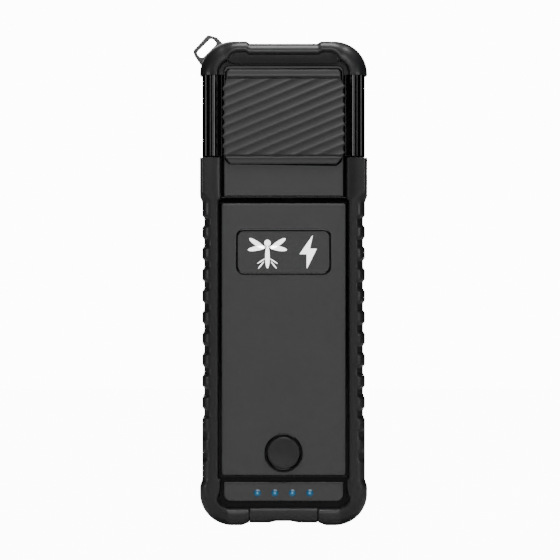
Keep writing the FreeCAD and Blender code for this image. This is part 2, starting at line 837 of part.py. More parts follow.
def usb_port():
    """The charging socket: a steel sleeve round a tongue, open at the bottom."""
    sleeve = port_opening("port_sleeve", 0)
    bind(sleeve, "Placement.Base.z", bumper_floor)
    bind(sleeve, "Height", port_length)
    space = block("port_space", (-port_width / 2 + port_wall, port_width / 2 - port_wall),
                  (board_front - port_thickness + port_wall, board_front - port_wall),
                  (bumper_floor - OVERCUT, bumper_floor + port_length - port_back_wall))
    middle = board_front - port_thickness / 2
    reach = port_tongue_thickness / 2
    tongue = block("port_tongue", (-port_width / 3, port_width / 3), (middle - reach, middle + reach),
                   (bumper_floor + port_tongue_setback, bumper_floor + port_length - port_tongue_root))
    return keep(fuse("port", cut("port_shell", sleeve, space), tongue), "usb_port")


def control_chips():
    """The controller, the charger chip and the coil on the board."""
    chips = [
        block(name, across, (board_front - thickness, board_front), height)
        for name, across, height, thickness in CHIPS
    ]
    return keep(group("chip_set", *chips), "control_chips")


def battery():
    """The flat lithium cell."""
    cell = block("cell", (-battery_half, battery_half), (inner_front + battery_gap, battery_rear),
                 (battery_bottom, battery_top))
    return keep(cell, "battery_cell")


def battery_pad():
    """The foam that holds the cell still."""
    foam = block("foam", (-battery_half, battery_half), (battery_rear, -frame_half - cable_thickness),
                 (battery_bottom, battery_top))
    return keep(foam, "battery_foam")


def link_cable():
    """The flat cable from the main board to the booster board."""
    side = cable_width / 2
    inner = -frame_half - cable_thickness
    foot_bottom = board_top - cable_joint - cable_thickness
    foot_top = board_top - cable_joint
    end_bottom = booster_bottom + cable_joint
    end_top = booster_bottom + cable_joint + cable_thickness
    outline = [
        (inner, foot_bottom),
        (-frame_half, foot_bottom),
        (-frame_half, end_top),
        (booster_rear, end_top),
        (booster_rear, end_bottom),
        (inner, end_bottom),
        (inner, foot_top),
    ]
    foot = block("cable_foot", (-side, side), (board_rear, -frame_half), (foot_bottom, foot_top))
    run = prism("cable_run", "x", outline, -side, side)
    return keep(fuse("cable", run, foot), "link_cable")


def lead(name, sign):
    """A battery lead: up from the cell, across, and down beside it to the board."""
    depth = board_front - lead_radius
    points = [
        (sign * lead_root, depth, battery_top),
        (sign * lead_root, depth, battery_top + lead_rise),
        (sign * lead_across, depth, battery_top + lead_rise),
        (sign * lead_across, depth, board_top - lead_overlap),
    ]
    return tube(name, points, lead_radius, lead_bend)


def tube(name, points, radius, bend):
    """A round wire along straight runs joined by equal arcs."""
    corners = [FreeCAD.Vector(*(sized(value).value for value in point)) for point in points]
    edges = []
    start = corners[0]
    for before, corner, after in zip(corners, corners[1:], corners[2:]):
        inward = (before - corner).normalize()
        onward = (after - corner).normalize()
        half_turn = inward.getAngle(onward) / 2.0
        first = corner + inward * (bend.value / math.tan(half_turn))
        last = corner + onward * (bend.value / math.tan(half_turn))
        middle = corner + (inward + onward).normalize() * (bend.value / math.sin(half_turn) - bend.value)
        edges += [Part.LineSegment(start, first).toShape(), Part.Arc(first, middle, last).toShape()]
        start = last
    edges.append(Part.LineSegment(start, corners[-1]).toShape())
    heading = corners[1] - corners[0]
    circle = Part.Wire(Part.makeCircle(radius.value, corners[0], heading))
    item = DOC.addObject("Part::Feature", name)
    item.Shape = Part.Wire(edges).makePipeShell([circle], True, True)
    return item


def battery_leads():
    """The red and the black lead of the cell."""
    keep(lead("red_wire", 1), "battery_lead_red")
    keep(lead("black_wire", -1), "battery_lead_black")


def booster_board():
    """The high-voltage board in the sleeve."""
    side = inner_half - board_margin
    board = block("booster", (-side, side), (booster_front, booster_rear), (booster_bottom, booster_top))
    return keep(board, "booster_board")


def transformer():
    """The step-up transformer: two ferrite halves round a wound bobbin."""
    low = booster_bottom + part_margin
    high = booster_top - part_margin
    depth = (tongue_inner + part_gap, booster_front)
    through = (tongue_inner - OVERCUT, booster_front + OVERCUT)
    leg_sides = about_core(core_leg_half)
    rim = core_limb + winding_gap
    frame = block("core_frame", about_core(core_half), depth, (low, high))
    gap = block("core_window", about_core(core_half - core_limb), through,
                (low + core_limb, high - core_limb))
    leg = block("core_leg", leg_sides, depth, (low, high))
    keep(fuse("core", cut("core_ring", frame, gap), leg), "transformer_core")
    coil = block("coil_block", about_core(core_half - rim), depth, (low + rim, high - rim))
    way = block("coil_way", leg_sides, through, (low, high))
    keep(cut("coil", coil, way), "transformer_winding")


def about_core(reach):
    """The two places at a distance from the transformer's middle."""
    return (core_middle - reach, core_middle + reach)


def booster_parts():
    """Capacitors, diodes and the transistor on the booster board."""
    low = booster_bottom + part_margin
    high = booster_top - part_margin
    middle = (tongue_inner + booster_front) / 2
    radius = (booster_front - tongue_inner) / 2 - part_gap
    diode_middle = booster_front - diode_radius
    capacitors = [
        rod(f"capacitor_{n}", "z", radius, low, high, (across, middle))
        for n, across in enumerate(CAPACITOR_PLACES)
    ]
    keep(group("capacitor_set", *capacitors), "booster_capacitors")
    diodes = [
        rod(f"diode_{n}", "z", diode_radius, low, low + diode_length, (across, diode_middle))
        for n, across in enumerate(DIODE_PLACES)
    ]
    keep(group("diode_set", *diodes), "booster_diodes")
    package = block("transistor", (transistor_left, transistor_left + transistor_width),
                    (booster_front - transistor_thickness, booster_front), (high - transistor_height, high))
    keep(package, "booster_transistor")


def brush(name, across):
    """A spring contact on the mid frame, with its leg to the booster board."""
    middle = frame_half + brush_thickness / 2
    leaf = block(f"{name}_leaf", (across - brush_leaf_half_width, across + brush_leaf_half_width),
                 (frame_half, frame_half + brush_thickness),
                 (brush_height - brush_leaf_half_height, brush_height + brush_leaf_half_height))
    tip = block(f"{name}_tip", (across - brush_tip_half_width, across + brush_tip_half_width),
                (middle, contact_face - running_gap),
                (brush_height - brush_tip_bottom, brush_height - brush_tip_top))
    leg = rod(f"{name}_leg", "y", brush_leg_radius, booster_rear, middle, (across, brush_height))
    return fuse(name, leaf, tip, leg)


def brushes():
    """The live and the earth contact that meet the carriage only when the net is fully out."""
    keep(brush("live_spring", -brush_across), "live_brush")
    keep(brush("earth_spring", brush_across), "earth_brush")


def reed_switch():
    """The glass switch that a magnet on the carriage closes when the net is out."""
    radius = booster_standoff / 2 - reed_gap
    place = (-frame_half - radius, brush_height)
    return keep(rod("reed", "x", radius, -reed_half_length, reed_half_length, place), "reed_switch")


def port_cover():
    """The rubber cover of the charging socket: a floor, a front wall, a barrel and a plug."""
    under = foot_height
    over = hinge_height + cover_floor_rise
    section = [
        (front, under),
        (hinge_depth, under),
        (hinge_depth, over),
        (front + cover_thickness, over),
        (front + cover_thickness, cover_front_height),
        (front, cover_front_height),
    ]
    skin = prism("cover_skin", "x", section, -cover_half, cover_half)
    rounded(skin, cover_round, lambda e: lies_at(e, "y", front) and lies_at(e, "z", under))
    barrel = rod("cover_barrel", "x", barrel_radius, -cover_half, cover_half, (hinge_depth, hinge_height))
    room = port_wall + plug_gap
    plug = block("cover_plug", (-port_width / 2 + room, port_width / 2 - room),
                 (board_front - port_thickness + room, board_front - port_thickness / 2 - plug_relief),
                 (over - plug_root, bumper_floor + plug_reach))
    hole = rod("cover_pin_hole", "x", pin_radius + running_gap, -cover_half - OVERCUT, cover_half + OVERCUT,
               (hinge_depth, hinge_height))
    body = cut("cover", fuse("cover_solid", skin, barrel, plug), hole)
    return keep(body, "port_cover")


def port_cover_pin():
    """The steel pin that the cover swings on."""
    return keep(hinge_pin("pin"), "port_cover_pin")


# ---- Head block
def head_profile(side, groove_side, face):
    """Half of the head's section, front only: side, slanted facet, crest, groove and plate seat."""
    crest = shell_front - column_setback
    step = shell_front + column_step
    groove_end = groove_side + column_groove
    right = [
        (groove_side, shell_front),
        (groove_side, step),
        (groove_end, step),
        (groove_end, crest),
        (groove_end + column_chamfer, crest),
        (side - column_edge_run, crest + column_edge_drop),
        (side, crest + column_facet),
        (side, face),
    ]
    return [(-u, v) for u, v in reversed(right)] + right


def head_core(name, side, low, high, bottom, top, corner):
    """A block with rounded top corners, as the head's casing and the space inside it have under the cap."""
    body = prism(name, "y", both_sides([(side, bottom), (side, top)]), low, high)
    return rounded(body, corner, lambda e: runs_along(e, "y") and lies_at(e, "z", top))


def head_front_shell():
    """The head's front casing: glossy columns at the sides and a seat for the head plate between."""
    profile = head_profile(grip_half, head_plate_half + column_clearance, 0)
    lower = prism("head_front_block", "z", profile, head_bottom, cap_bottom)
    upper = head_core("head_front_core", cap_core_half, shell_front, 0, cap_bottom, core_top, core_corner)
    inside = head_core("head_front_inside", inner_half, inner_front + head_thickening, OVERCUT,
                       head_bottom + shell_wall, core_top - shell_wall, core_corner - shell_wall)
    tail = loop_plate("front_loop_space", loop_thickness)
    solid = fuse("head_front_solid", lower, upper)
    return keep(cut("head_front", solid, inside, tail, rivet("front_rivet_hole")), "head_front_shell")


def rear_profile(side):
    """The head's rear section: plain, with its rear edges cut off slantwise."""
    return [
        (-side, 0),
        (side, 0),
        (side, rear - column_facet - rear_lip),
        (side - column_facet, rear - rear_lip),
        (-side + column_facet, rear - rear_lip),
        (-side, rear - column_facet - rear_lip),
    ]


def rail_boxes(name, room, low, high):
    """The space of the two rails, with room round each."""
    spaces = []
    inner = net_half - room
    outer = rail_outer + room
    for side, places in (("left", (-outer, -inner)), ("right", (inner, outer))):
        spaces.append(block(f"{name}_{side}", places, (rail_front - room, rail_rear + room), (low, high)))
    return spaces


def head_rear_shell():
    """The head's rear casing, with the slot in its floor through which the rails and the net hang."""
    lower = prism("head_rear_block", "z", rear_profile(grip_half), head_bottom, cap_bottom)
    upper = head_core("head_rear_core", cap_core_half, 0, shell_rear, cap_bottom, core_top, core_corner)
    inside = head_core("head_rear_inside", inner_half, -OVERCUT, inner_rear, head_bottom + shell_wall,
                       core_top - shell_wall, core_corner - shell_wall)
    slot = block("rail_slot", (-rail_outer, rail_outer), (rail_front, rail_rear),
                 (head_bottom - OVERCUT, head_bottom + shell_wall + OVERCUT))
    screws = clamp_places("rear_screw_hole", screw_radius, rail_rear, rear)
    tail = loop_plate("rear_loop_space", loop_thickness)
    tools = [inside, slot, tail, *screws, rivet("rear_rivet_hole")]
    return keep(cut("head_rear", fuse("head_rear_solid", lower, upper), *tools), "head_rear_shell")


def clamp_places(name, radius, low, high):
    """Two cylinders where screws hold the rails in the head."""
    across = (net_half + rail_outer) / 2
    height = top_bar_top + clamp_rise
    return [
        rod(f"{name}_{n}", "y", radius, low, high, (sign * across, height))
        for n, sign in enumerate((-1, 1))
    ]


def cap_bumper():
    """The soft cap over the head, with two knuckles on top and a lip over the head plate."""
    outline = both_sides([
        (half, cap_bottom),
        (half, head_top),
        (knuckle_inner, head_top),
        (knuckle_inner - knuckle_slope, head_top - knuckle_rise),
    ])
    body = prism("cap_block", "y", outline, front, rear)
    rounded(body, cap_corner,
            lambda e: runs_along(e, "y") and lies_side(e, half) and lies_at(e, "z", head_top))
    rounded(body, edge_round, lambda e: on_face(e) and not lies_at(e, "z", cap_bottom))
    core = head_core("cap_core", cap_core_half, shell_front, shell_rear, cap_bottom - OVERCUT,
                     core_top, core_corner)
    side = head_plate_half + plate_gap
    notch = block("cap_notch", (-side, side), (front - OVERCUT, shell_front + OVERCUT),
                  (cap_bottom - OVERCUT, head_plate_top + plate_gap))
    tail = loop_plate("loop_space", loop_thickness)
    return keep(cut("cap", body, core, notch, tail, rivet("cap_rivet_hole")), "cap_bumper")


def loop_plate(name, thickness):
    """The lanyard plate: a bevelled tab at 45 degrees with its tail in the cap."""
    outer_end = -half - loop_reach
    outline = [(outer_end + right, head_top + up) for right, up in LOOP_CORNERS]
    return prism(name, "y", outline, -thickness / 2, thickness / 2)


def rivet(name):
    """The rivet that holds the lanyard plate, or the hole for it."""
    place = (-half + rivet_inset, head_top - rivet_drop)
    return rod(name, "y", rivet_radius, front + rivet_recess, rear - rivet_recess, place)


def lanyard_loop():
    """The fixed loop for a wrist strap."""
    plate = loop_plate("loop_plate", loop_thickness)
    slot = DOC.addObject("Part::Box", "loop_slot")
    bind(slot, "Length", loop_slot_length)
    bind(slot, "Width", loop_thickness + 2 * OVERCUT)
    bind(slot, "Height", loop_slot_width)
    turn = FreeCAD.Rotation(FreeCAD.Vector(0, -1, 0), 45)
    slot.Placement = FreeCAD.Placement(FreeCAD.Vector(), turn)
    shift = (loop_slot_length - loop_slot_width) * math.sqrt(0.5) / 2
    rise = (loop_slot_length + loop_slot_width) * math.sqrt(0.5) / 2
    bind(slot, "Placement.Base.x", -half + loop_slot_inset - shift)
    bind(slot, "Placement.Base.y", -loop_thickness / 2 - OVERCUT)
    bind(slot, "Placement.Base.z", head_top - loop_slot_drop - rise)
    return keep(cut("loop", plate, slot, rivet("loop_rivet_hole")), "lanyard_loop")


def lanyard_rivet():
    """The rivet through the cap and the lanyard plate."""
    return keep(rivet("rivet"), "lanyard_rivet")


def head_plate():
    """The plate on the head, whose tongue slides in the sleeve."""
    outline = both_sides([(head_plate_half, tongue_bottom), (head_plate_half, head_plate_top)])
    body = prism("head_plate_block", "y", outline, plate_face, shell_front)
    rounded(body, head_plate_corner, lambda e: runs_along(e, "y") and lies_at(e, "z", head_plate_top))
    return keep(body, "head_plate")


def grip_pad():
    """The ribbed rubber pad that the thumb pushes to slide the head."""
    side = half - pad_inset
    low = head_bottom - pad_bottom
    high = head_top - pad_top_drop
    wing_low = low + pad_bar
    wing_high = high - pad_bar
    crest = plate_face - pad_base - rib_height
    outline = both_sides([
        (side - pad_bevel, low),
        (side, low + pad_bevel),
        (side, wing_low),
        (side + pad_wing, wing_low + pad_bevel),
        (side + pad_wing, wing_high - pad_bevel),
        (side, wing_high),
        (side, high - pad_bevel),
        (side - pad_bevel, high),
    ])
    base = prism("pad_base_block", "y", outline, plate_face - pad_base, plate_face)
    field = block("rib_field", (-side - pad_wing, side + pad_wing), (crest, plate_face),
                  (wing_low, wing_high))
    outside = prism("pad_outside", "y", outline, crest, plate_face)
    ribs = fuse("ribs", *slanted_ribs(side + pad_wing, (wing_low + wing_high) / 2, wing_high - wing_low))
    bars = [
        block("pad_low_bar", (-side, side), (crest, plate_face), (low, wing_low)),
        block("pad_high_bar", (-side, side), (crest, plate_face), (wing_high, high)),
    ]
    raised = fuse("pad_raised", common("rib_part", ribs, field), *bars)
    return keep(fuse("pad", base, common("pad_trimmed", raised, outside)), "grip_pad")


def slanted_ribs(side, middle, height):
    """Long bars that climb to the right, evenly spaced across the pad."""
    angle = math.radians(rib_angle.value)
    climb = height.value + 2 * side.value * math.tan(angle)
    count = math.ceil(climb * math.cos(angle) / rib_pitch.value / 2)
    turn = FreeCAD.Rotation(FreeCAD.Vector(0, -1, 0), rib_angle.value)
    ribs = []
    for number in range(-count, count + 1):
        rib = DOC.addObject("Part::Box", "rib")
        rib.Placement = FreeCAD.Placement(FreeCAD.Vector(), turn)
        bind(rib, "Length", side * 4)
        bind(rib, "Width", rib_height + pad_base)
        bind(rib, "Height", rib_width)
        offset = rib_pitch * number
        bind(rib, "Placement.Base.x", side * (-2 * math.cos(angle)) - offset * math.sin(angle))
        bind(rib, "Placement.Base.y", plate_face - pad_base - rib_height)
        bind(rib, "Placement.Base.z", middle - side * (2 * math.sin(angle)) + offset * math.cos(angle))
        ribs.append(rib)
    return ribs


# ---- Sliding net
def net_rails():
    """The two rails that carry the net, clamped in the head."""
    holes = clamp_places("rail_screw_hole", screw_radius, rail_front - OVERCUT, rear)
    spaces = rail_boxes("rail_bar", 0, carriage_top, top_bar_top + rail_clamp_length)
    keep(cut("left_rail", spaces[0], holes[0]), "rail_left")
    keep(cut("right_rail", spaces[1], holes[1]), "rail_right")


def rail_screws():
    """The two screws that hold the rails to the head's rear casing."""
    screws = clamp_places("rail_screw", screw_radius, rail_front, rear - rear_lip)
    return keep(group("rail_screw_set", *screws), "rail_screws")


def net_top_bar():
    """The insulating bar that the wires start from, inside the head."""
    bar = block("top_bar", (-net_half, net_half), (rail_front, rail_rear), (top_bar_bottom, top_bar_top))
    return keep(bar, "net_top_bar")


def carriage():
    """The insulating bar at the net's lower end."""
    bar = block("carriage_bar", (-glide_inner, glide_inner), (carriage_front, rail_rear),
                (shelf_height, carriage_top))
    spaces = [contact_strip("strip_space", -brush_across), contact_strip("strip_space_right", brush_across),
              magnet("magnet_space")]
    return keep(cut("carriage_body", bar, *spaces), "carriage")


def contact_strip(name, across):
    """A metal strip let into the carriage's front face."""
    return block(name, (across - contact_half_width, across + contact_half_width),
                 (contact_face, carriage_front + contact_depth),
                 (shelf_height + contact_foot, carriage_top))


def contact_strips():
    """The live and the earth strip."""
    keep(contact_strip("live_strip", -brush_across), "live_contact")
    keep(contact_strip("earth_strip", brush_across), "earth_contact")


def magnet(name):
    """The magnet in the carriage that tells the reed switch that the net is out."""
    return rod(name, "y", magnet_radius, carriage_front, carriage_front + magnet_thickness,
               (0, shelf_height + carriage_height / 2))


def glide_pads():
    """Slippery pads on the carriage's ends, which run along the casing's sides."""
    right = block("pad_right", (glide_inner, inner_half - glide_gap), (carriage_front, rail_rear),
                  (shelf_height, carriage_top))
    return keep(group("glide_pad_set", right, mirrored("pad_left", right)), "glide_pads")


def wires(name, axis, radius, places, start, end, depth):
    """Parallel wires: each a rod along an axis at its place across the net."""
    made = []
    for number, place in enumerate(places):
        across = (place, depth) if axis == "z" else (depth, place)
        made.append(rod(f"{name}_{number}", axis, radius, start, end, across))
    return made


def guard_net(name, depth, side):
    """An earthed guard net: uprights, with rungs on their outer side."""
    uprights = wires(f"{name}_upright", "z", wire_radius, spread(net_half, wire_pitch),
                     carriage_top, top_bar_bottom, depth)
    length = top_bar_bottom - carriage_top
    count = int(length.value // rung_pitch.value)
    places = [carriage_top + length / count * (n + 0.5) for n in range(count)]
    outside = depth + wire_radius * 2 * side
    rungs = wires(f"{name}_rung", "x", wire_radius, places, -net_half, net_half, outside)
    return keep(group(f"{name}_set", *uprights, *rungs), name)


def spread(reach, pitch):
    """Evenly spaced places about the middle plane, within a reach."""
    count = int(reach.value * 2 // pitch.value)
    return [pitch * (n - (count - 1) / 2) for n in range(count)]


def nets():
    """The front and the rear guard net and the live wires between them."""
    guard_net("guard_net_front", net_middle - layer_spacing, -1)
    guard_net("guard_net_rear", net_middle + layer_spacing, 1)
    live = wires("live_wire", "z", live_wire_radius, spread(net_half, live_pitch),
                 carriage_top, top_bar_bottom, net_middle)
    keep(group("live_wire_set", *live), "live_wires")


def build():
    """Makes every piece."""
    handle_bumper()
    handle_front_shell()
    handle_rear_shell()
    mid_frame()
    mouth_collar()
    shell_screws()
    front_plate()
    indicator_plate()
    light_pipes()
    indicator_lamps()
    button_bezel()
    power_button()
    switch_plunger()
    switch_body()
    main_board()
    usb_port()
    control_chips()
    battery()
    battery_pad()
    link_cable()
    battery_leads()
    booster_board()
    transformer()
    booster_parts()
    brushes()
    reed_switch()
    port_cover()
    port_cover_pin()
    head_front_shell()
    head_rear_shell()
    cap_bumper()
    lanyard_loop()
    lanyard_rivet()
    head_plate()
    grip_pad()
    net_rails()
    rail_screws()
    net_top_bar()
    carriage()
    contact_strips()
    keep(magnet("interlock_magnet_disc"), "interlock_magnet")
    glide_pads()
    nets()


def check():
    """Stops if any object failed or any piece is empty or broken."""
    for item in DOC.Objects:
        if any(state in ("Invalid", "Error") for state in item.State):
            raise RuntimeError(f"{item.Name} failed: {item.State}")
    for piece in PIECES:
        if piece.Shape.isNull() or not piece.Shape.isValid() or not piece.Shape.Solids:
            raise RuntimeError(f"{piece.Label} is not a valid solid")


def write():
    """Writes each piece to its own file."""
    os.makedirs("parts", exist_ok=True)
    for piece in PIECES:
        piece.Shape.exportStep(f"parts/{piece.Label}.step")
    print(f"{len(PIECES)} pieces, net travel {travel.value:.2f} mm")


SHEET.Label = "Dims"
build()
DOC.recompute()
check()
write()
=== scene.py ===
"""The looks of a pocket electric fly swatter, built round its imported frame.

Lengths in the classes are millimetres, as a maker would write them; MM turns them into metres as they enter a
mesh. X is to the right, -Y is the front and +Z is up, as in the frame.
"""

from __future__ import annotations

import json
import logging
import math
from dataclasses import dataclass, field
from enum import Enum
from typing import Any, Callable

import bmesh
import bpy
import numpy as np
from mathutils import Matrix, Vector


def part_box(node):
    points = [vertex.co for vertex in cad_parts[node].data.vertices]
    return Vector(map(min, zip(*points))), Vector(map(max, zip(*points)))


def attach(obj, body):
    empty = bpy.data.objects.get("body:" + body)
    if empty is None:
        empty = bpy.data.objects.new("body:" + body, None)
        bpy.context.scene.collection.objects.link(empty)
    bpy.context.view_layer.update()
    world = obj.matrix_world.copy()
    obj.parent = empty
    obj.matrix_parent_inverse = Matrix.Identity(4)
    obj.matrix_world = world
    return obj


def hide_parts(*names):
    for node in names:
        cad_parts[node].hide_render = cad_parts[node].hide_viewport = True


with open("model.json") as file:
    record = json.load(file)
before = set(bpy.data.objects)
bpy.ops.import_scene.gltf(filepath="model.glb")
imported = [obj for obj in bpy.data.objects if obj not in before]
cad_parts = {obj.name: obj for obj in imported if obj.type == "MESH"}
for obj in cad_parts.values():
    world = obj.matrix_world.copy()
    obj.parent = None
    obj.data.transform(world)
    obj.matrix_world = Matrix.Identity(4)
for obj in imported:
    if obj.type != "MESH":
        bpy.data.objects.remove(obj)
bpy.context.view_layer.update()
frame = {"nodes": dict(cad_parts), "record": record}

MM = 0.001
LOG = logging.getLogger("fly_swatter")
Array = np.ndarray
Colour = tuple[float, float, float]


class Part(Enum):
    """The bodies that pieces ride on."""

    HANDLE = "handle"
    HEAD = "head"
    BUTTON = "button"
    COVER = "port_cover"


# ---------------------------------------------------------------- shader graph


class Signal:
    """A shader socket that takes part in Python arithmetic."""

    def __init__(self, graph: Graph, socket: bpy.types.NodeSocket) -> None:
        """Wraps an output socket of a node in a graph."""
        self.graph = graph
        self.socket = socket

    def math(self, operation: str, *others: Signal | float) -> Signal:
        """Adds a Math node over this signal and the others."""
        inputs = {n: value for n, value in enumerate((self, *others))}
        return self.graph.add("ShaderNodeMath", {"operation": operation}, inputs)

    def __add__(self, other: Signal | float) -> Signal:
        """Sum."""
        return self.math("ADD", other)

    def __sub__(self, other: Signal | float) -> Signal:
        """Difference."""
        return self.math("SUBTRACT", other)

    def __mul__(self, other: Signal | float) -> Signal:
        """Product."""
        return self.math("MULTIPLY", other)

    def __truediv__(self, other: Signal | float) -> Signal:
        """Quotient."""
        return self.math("DIVIDE", other)

    def __rsub__(self, other: float) -> Signal:
        """A number less this signal."""
        return (self * -1.0) + other

    __radd__ = __add__
    __rmul__ = __mul__

    def smooth(self, low: float, high: float) -> Signal:
        """A soft step from nought at low to one at high."""
        settings = {"interpolation_type": "SMOOTHSTEP"}
        return self.graph.add("ShaderNodeMapRange", settings, {0: self, 1: low, 2: high})


class Graph:
    """A material's node tree with one Principled shader, and the ways of adding to it."""

    def __init__(self, name: str) -> None:
        """Starts a material with a bare Principled shader."""
        self.material = bpy.data.materials.new(name)
        self.material.use_nodes = True
        self.tree = self.material.node_tree
        self.shader = self.tree.nodes["Principled BSDF"]

    def add(self, kind: str, settings: dict[str, Any] | None = None, inputs: dict[Any, Any] | None = None,
            output: int | str = 0) -> Signal:
        """Adds a node.

        Args:
            kind: The node's type.
            settings: Its own properties, set first; "stops" gives a ramp's (place, colour) pairs.
            inputs: Values, signals or colours for its sockets, by name or number.
            output: Which output the signal reads.

        Returns:
            The chosen output.
        """
        node = self.tree.nodes.new(kind)
        for key, value in (settings or {}).items():
            if key == "stops":
                self._stops(node.color_ramp, value)
            else:
                setattr(node, key, value)
        for key, value in (inputs or {}).items():
            self.feed(node.inputs[key], value)
        return Signal(self, node.outputs[output])

    @staticmethod
    def _stops(ramp: bpy.types.ColorRamp, stops: list[tuple[float, Colour]]) -> None:
        """Gives a colour ramp its stops."""
        while len(ramp.elements) < len(stops):
            ramp.elements.new(0.5)
        for element, (place, colour) in zip(ramp.elements, stops):
            element.position = place
            element.color = (*colour, 1.0)

    def feed(self, socket: bpy.types.NodeSocket, value: Any) -> None:
        """Links a signal into a socket, or sets the socket's own value."""
        if isinstance(value, Signal):
            self.tree.links.new(value.socket, socket)
        elif isinstance(value, tuple) and len(value) == 3 and len(socket.default_value) == 4:
            socket.default_value = (*value, 1.0)
        else:
            socket.default_value = value

    def set(self, **inputs: Any) -> None:
        """Feeds the shader's own sockets, whose names are given with _ for a space."""
        for key, value in inputs.items():
            self.feed(self.shader.inputs[key.replace("_", " ")], value)

    def place(self, scale: tuple[float, float, float] = (1.0, 1.0, 1.0)) -> Signal:
        """Object coordinates in millimetres, stretched by a scale."""
        coordinates = self.add("ShaderNodeTexCoord", output="Object")
        factor = tuple(s / MM for s in scale)
        return self.add("ShaderNodeVectorMath", {"operation": "MULTIPLY"}, {0: coordinates, 1: factor})

    def axes(self) -> tuple[Signal, Signal, Signal]:
        """The three Object coordinates in millimetres."""
        place = self.place()
        return tuple(self.add("ShaderNodeSeparateXYZ", None, {0: place}, output=n) for n in range(3))

    def noise(self, size: float, detail: float = 2.0, scale: tuple[float, float, float] = (1, 1, 1)) -> Signal:
        """Cloudy noise whose blotches are about size millimetres across."""
        inputs = {"Vector": self.place(scale), "Scale": 1.0 / size, "Detail": detail}
        return self.add("ShaderNodeTexNoise", None, inputs)

    def cells(self, size: float) -> Signal:
        """Distance to the nearest of points about size millimetres apart."""
        return self.add("ShaderNodeTexVoronoi", None, {"Vector": self.place(), "Scale": 1.0 / size})

    def mix(self, share: Signal | float, low: Any, high: Any) -> Signal:
        """A colour between two others."""
        settings = {"data_type": "RGBA"}
        return self.add("ShaderNodeMix", settings, {0: share, 6: low, 7: high}, output=2)

    def bump(self, height: Signal, depth: float) -> Signal:
        """A bump whose relief is depth millimetres."""
        return self.add("ShaderNodeBump", None, {"Height": height, "Distance": depth * MM, "Strength": 1.0})


def tint(colour: Colour, factor: float) -> Colour:
    """A colour made lighter or darker."""
    return tuple(min(1.0, c * factor) for c in colour)


# ---------------------------------------------------------------- finishes


@dataclass(frozen=True)
class Finish:
    """A material named after its slot; each kind of finish paints its own shader."""

    name: str

    def build(self) -> bpy.types.Material:
        """Makes the material."""
        g = Graph(self.name)
        self.paint(g)
        return g.material

    def paint(self, g: Graph) -> None:
        """Feeds the shader's sockets."""
        raise NotImplementedError


@dataclass(frozen=True)
class Moulded(Finish):
    """Moulded rubber or plastic: spark-eroded grain, handling sheen and a little dust in the hollows.

    Attributes:
        colour: Base colour.
        roughness: Mean roughness.
        grain: Width of the grain in millimetres.
        relief: Depth of the grain in millimetres.
        coat: Weight of a clear gloss on top.
    """

    colour: Colour
    roughness: float = 0.5
    grain: float = 0.25
    relief: float = 0.012
    coat: float = 0.0

    def paint(self, g: Graph) -> None:
        """Feeds the shader's sockets."""
        grain = g.noise(self.grain, 3.0)
        pits = g.cells(self.grain * 1.6)
        handling = g.noise(14.0, 3.0)
        dust = g.noise(1.1, 4.0).smooth(0.62, 0.78) * g.noise(23.0).smooth(0.45, 0.7)
        base = g.mix(handling, tint(self.colour, 0.85), tint(self.colour, 1.2))
        g.set(
            Base_Color=g.mix(dust * 0.22, base, tint(self.colour, 3.0)),
            Roughness=handling * 0.16 + grain * 0.08 + (self.roughness - 0.12) + dust * 0.1,
            Normal=g.bump(grain * 0.6 + pits * 0.4, self.relief),
            Coat_Weight=self.coat,
            Coat_Roughness=0.12,
        )


@dataclass(frozen=True)
class Polished(Finish):
    """Polished black plastic: faint ripple of the mould, fine hairlines and finger marks in the gloss."""

    colour: Colour
    roughness: float = 0.14

    def paint(self, g: Graph) -> None:
        """Feeds the shader's sockets."""
        ripple = g.noise(5.0, 1.0)
        marks = g.noise(9.0, 5.0).smooth(0.48, 0.66)
        hairs = g.noise(0.6, 2.0, (1.0, 1.0, 0.04)).smooth(0.6, 0.72)
        g.set(
            Base_Color=g.mix(marks, self.colour, tint(self.colour, 1.5)),
            Roughness=marks * 0.05 + hairs * 0.06 + self.roughness,
            Normal=g.bump(ripple + hairs * 0.05, 0.01),
            Specular_IOR_Level=0.3,
        )


@dataclass(frozen=True)
class SatinPlate(Finish):
    """A satin painted plate: flakes too fine to see singly, a soft sheen and light rub marks."""

    colour: Colour
    roughness: float = 0.42

    def paint(self, g: Graph) -> None:
        """Feeds the shader's sockets."""
        flake = g.noise(0.12, 2.0)
        cloud = g.noise(18.0, 3.0)
        rubs = g.noise(0.5, 3.0, (0.06, 1.0, 1.0)).smooth(0.62, 0.75) * cloud.smooth(0.4, 0.6)
        base = g.mix(cloud, tint(self.colour, 0.94), tint(self.colour, 1.06))
        g.set(
            Base_Color=g.mix(flake.smooth(0.55, 0.75) * 0.35, base, tint(self.colour, 1.7)),
            Roughness=flake * 0.14 + cloud * 0.06 + (self.roughness - 0.1) - rubs * 0.08,
            Normal=g.bump(flake, 0.006),
            Specular_IOR_Level=0.4,
        )


@dataclass(frozen=True)
class Metal(Finish):
    """Bare metal: drawn or turned lines, small stains and a varying shine.

    Attributes:
        colour: Base colour.
        roughness: Mean roughness.
        lines: How much the lines are stretched along each axis; small is long.
    """

    colour: Colour
    roughness: float = 0.3
    lines: tuple[float, float, float] = (1.0, 1.0, 0.08)

    def paint(self, g: Graph) -> None:
        """Feeds the shader's sockets."""
        drawn = g.noise(0.18, 2.0, self.lines)
        stain = g.noise(3.0, 4.0).smooth(0.5, 0.75)
        g.set(
            Base_Color=g.mix(stain, self.colour, tint(self.colour, 0.72)),
            Metallic=1.0,
            Roughness=drawn * 0.16 + stain * 0.15 + (self.roughness - 0.1),
            Normal=g.bump(drawn, 0.006),
        )


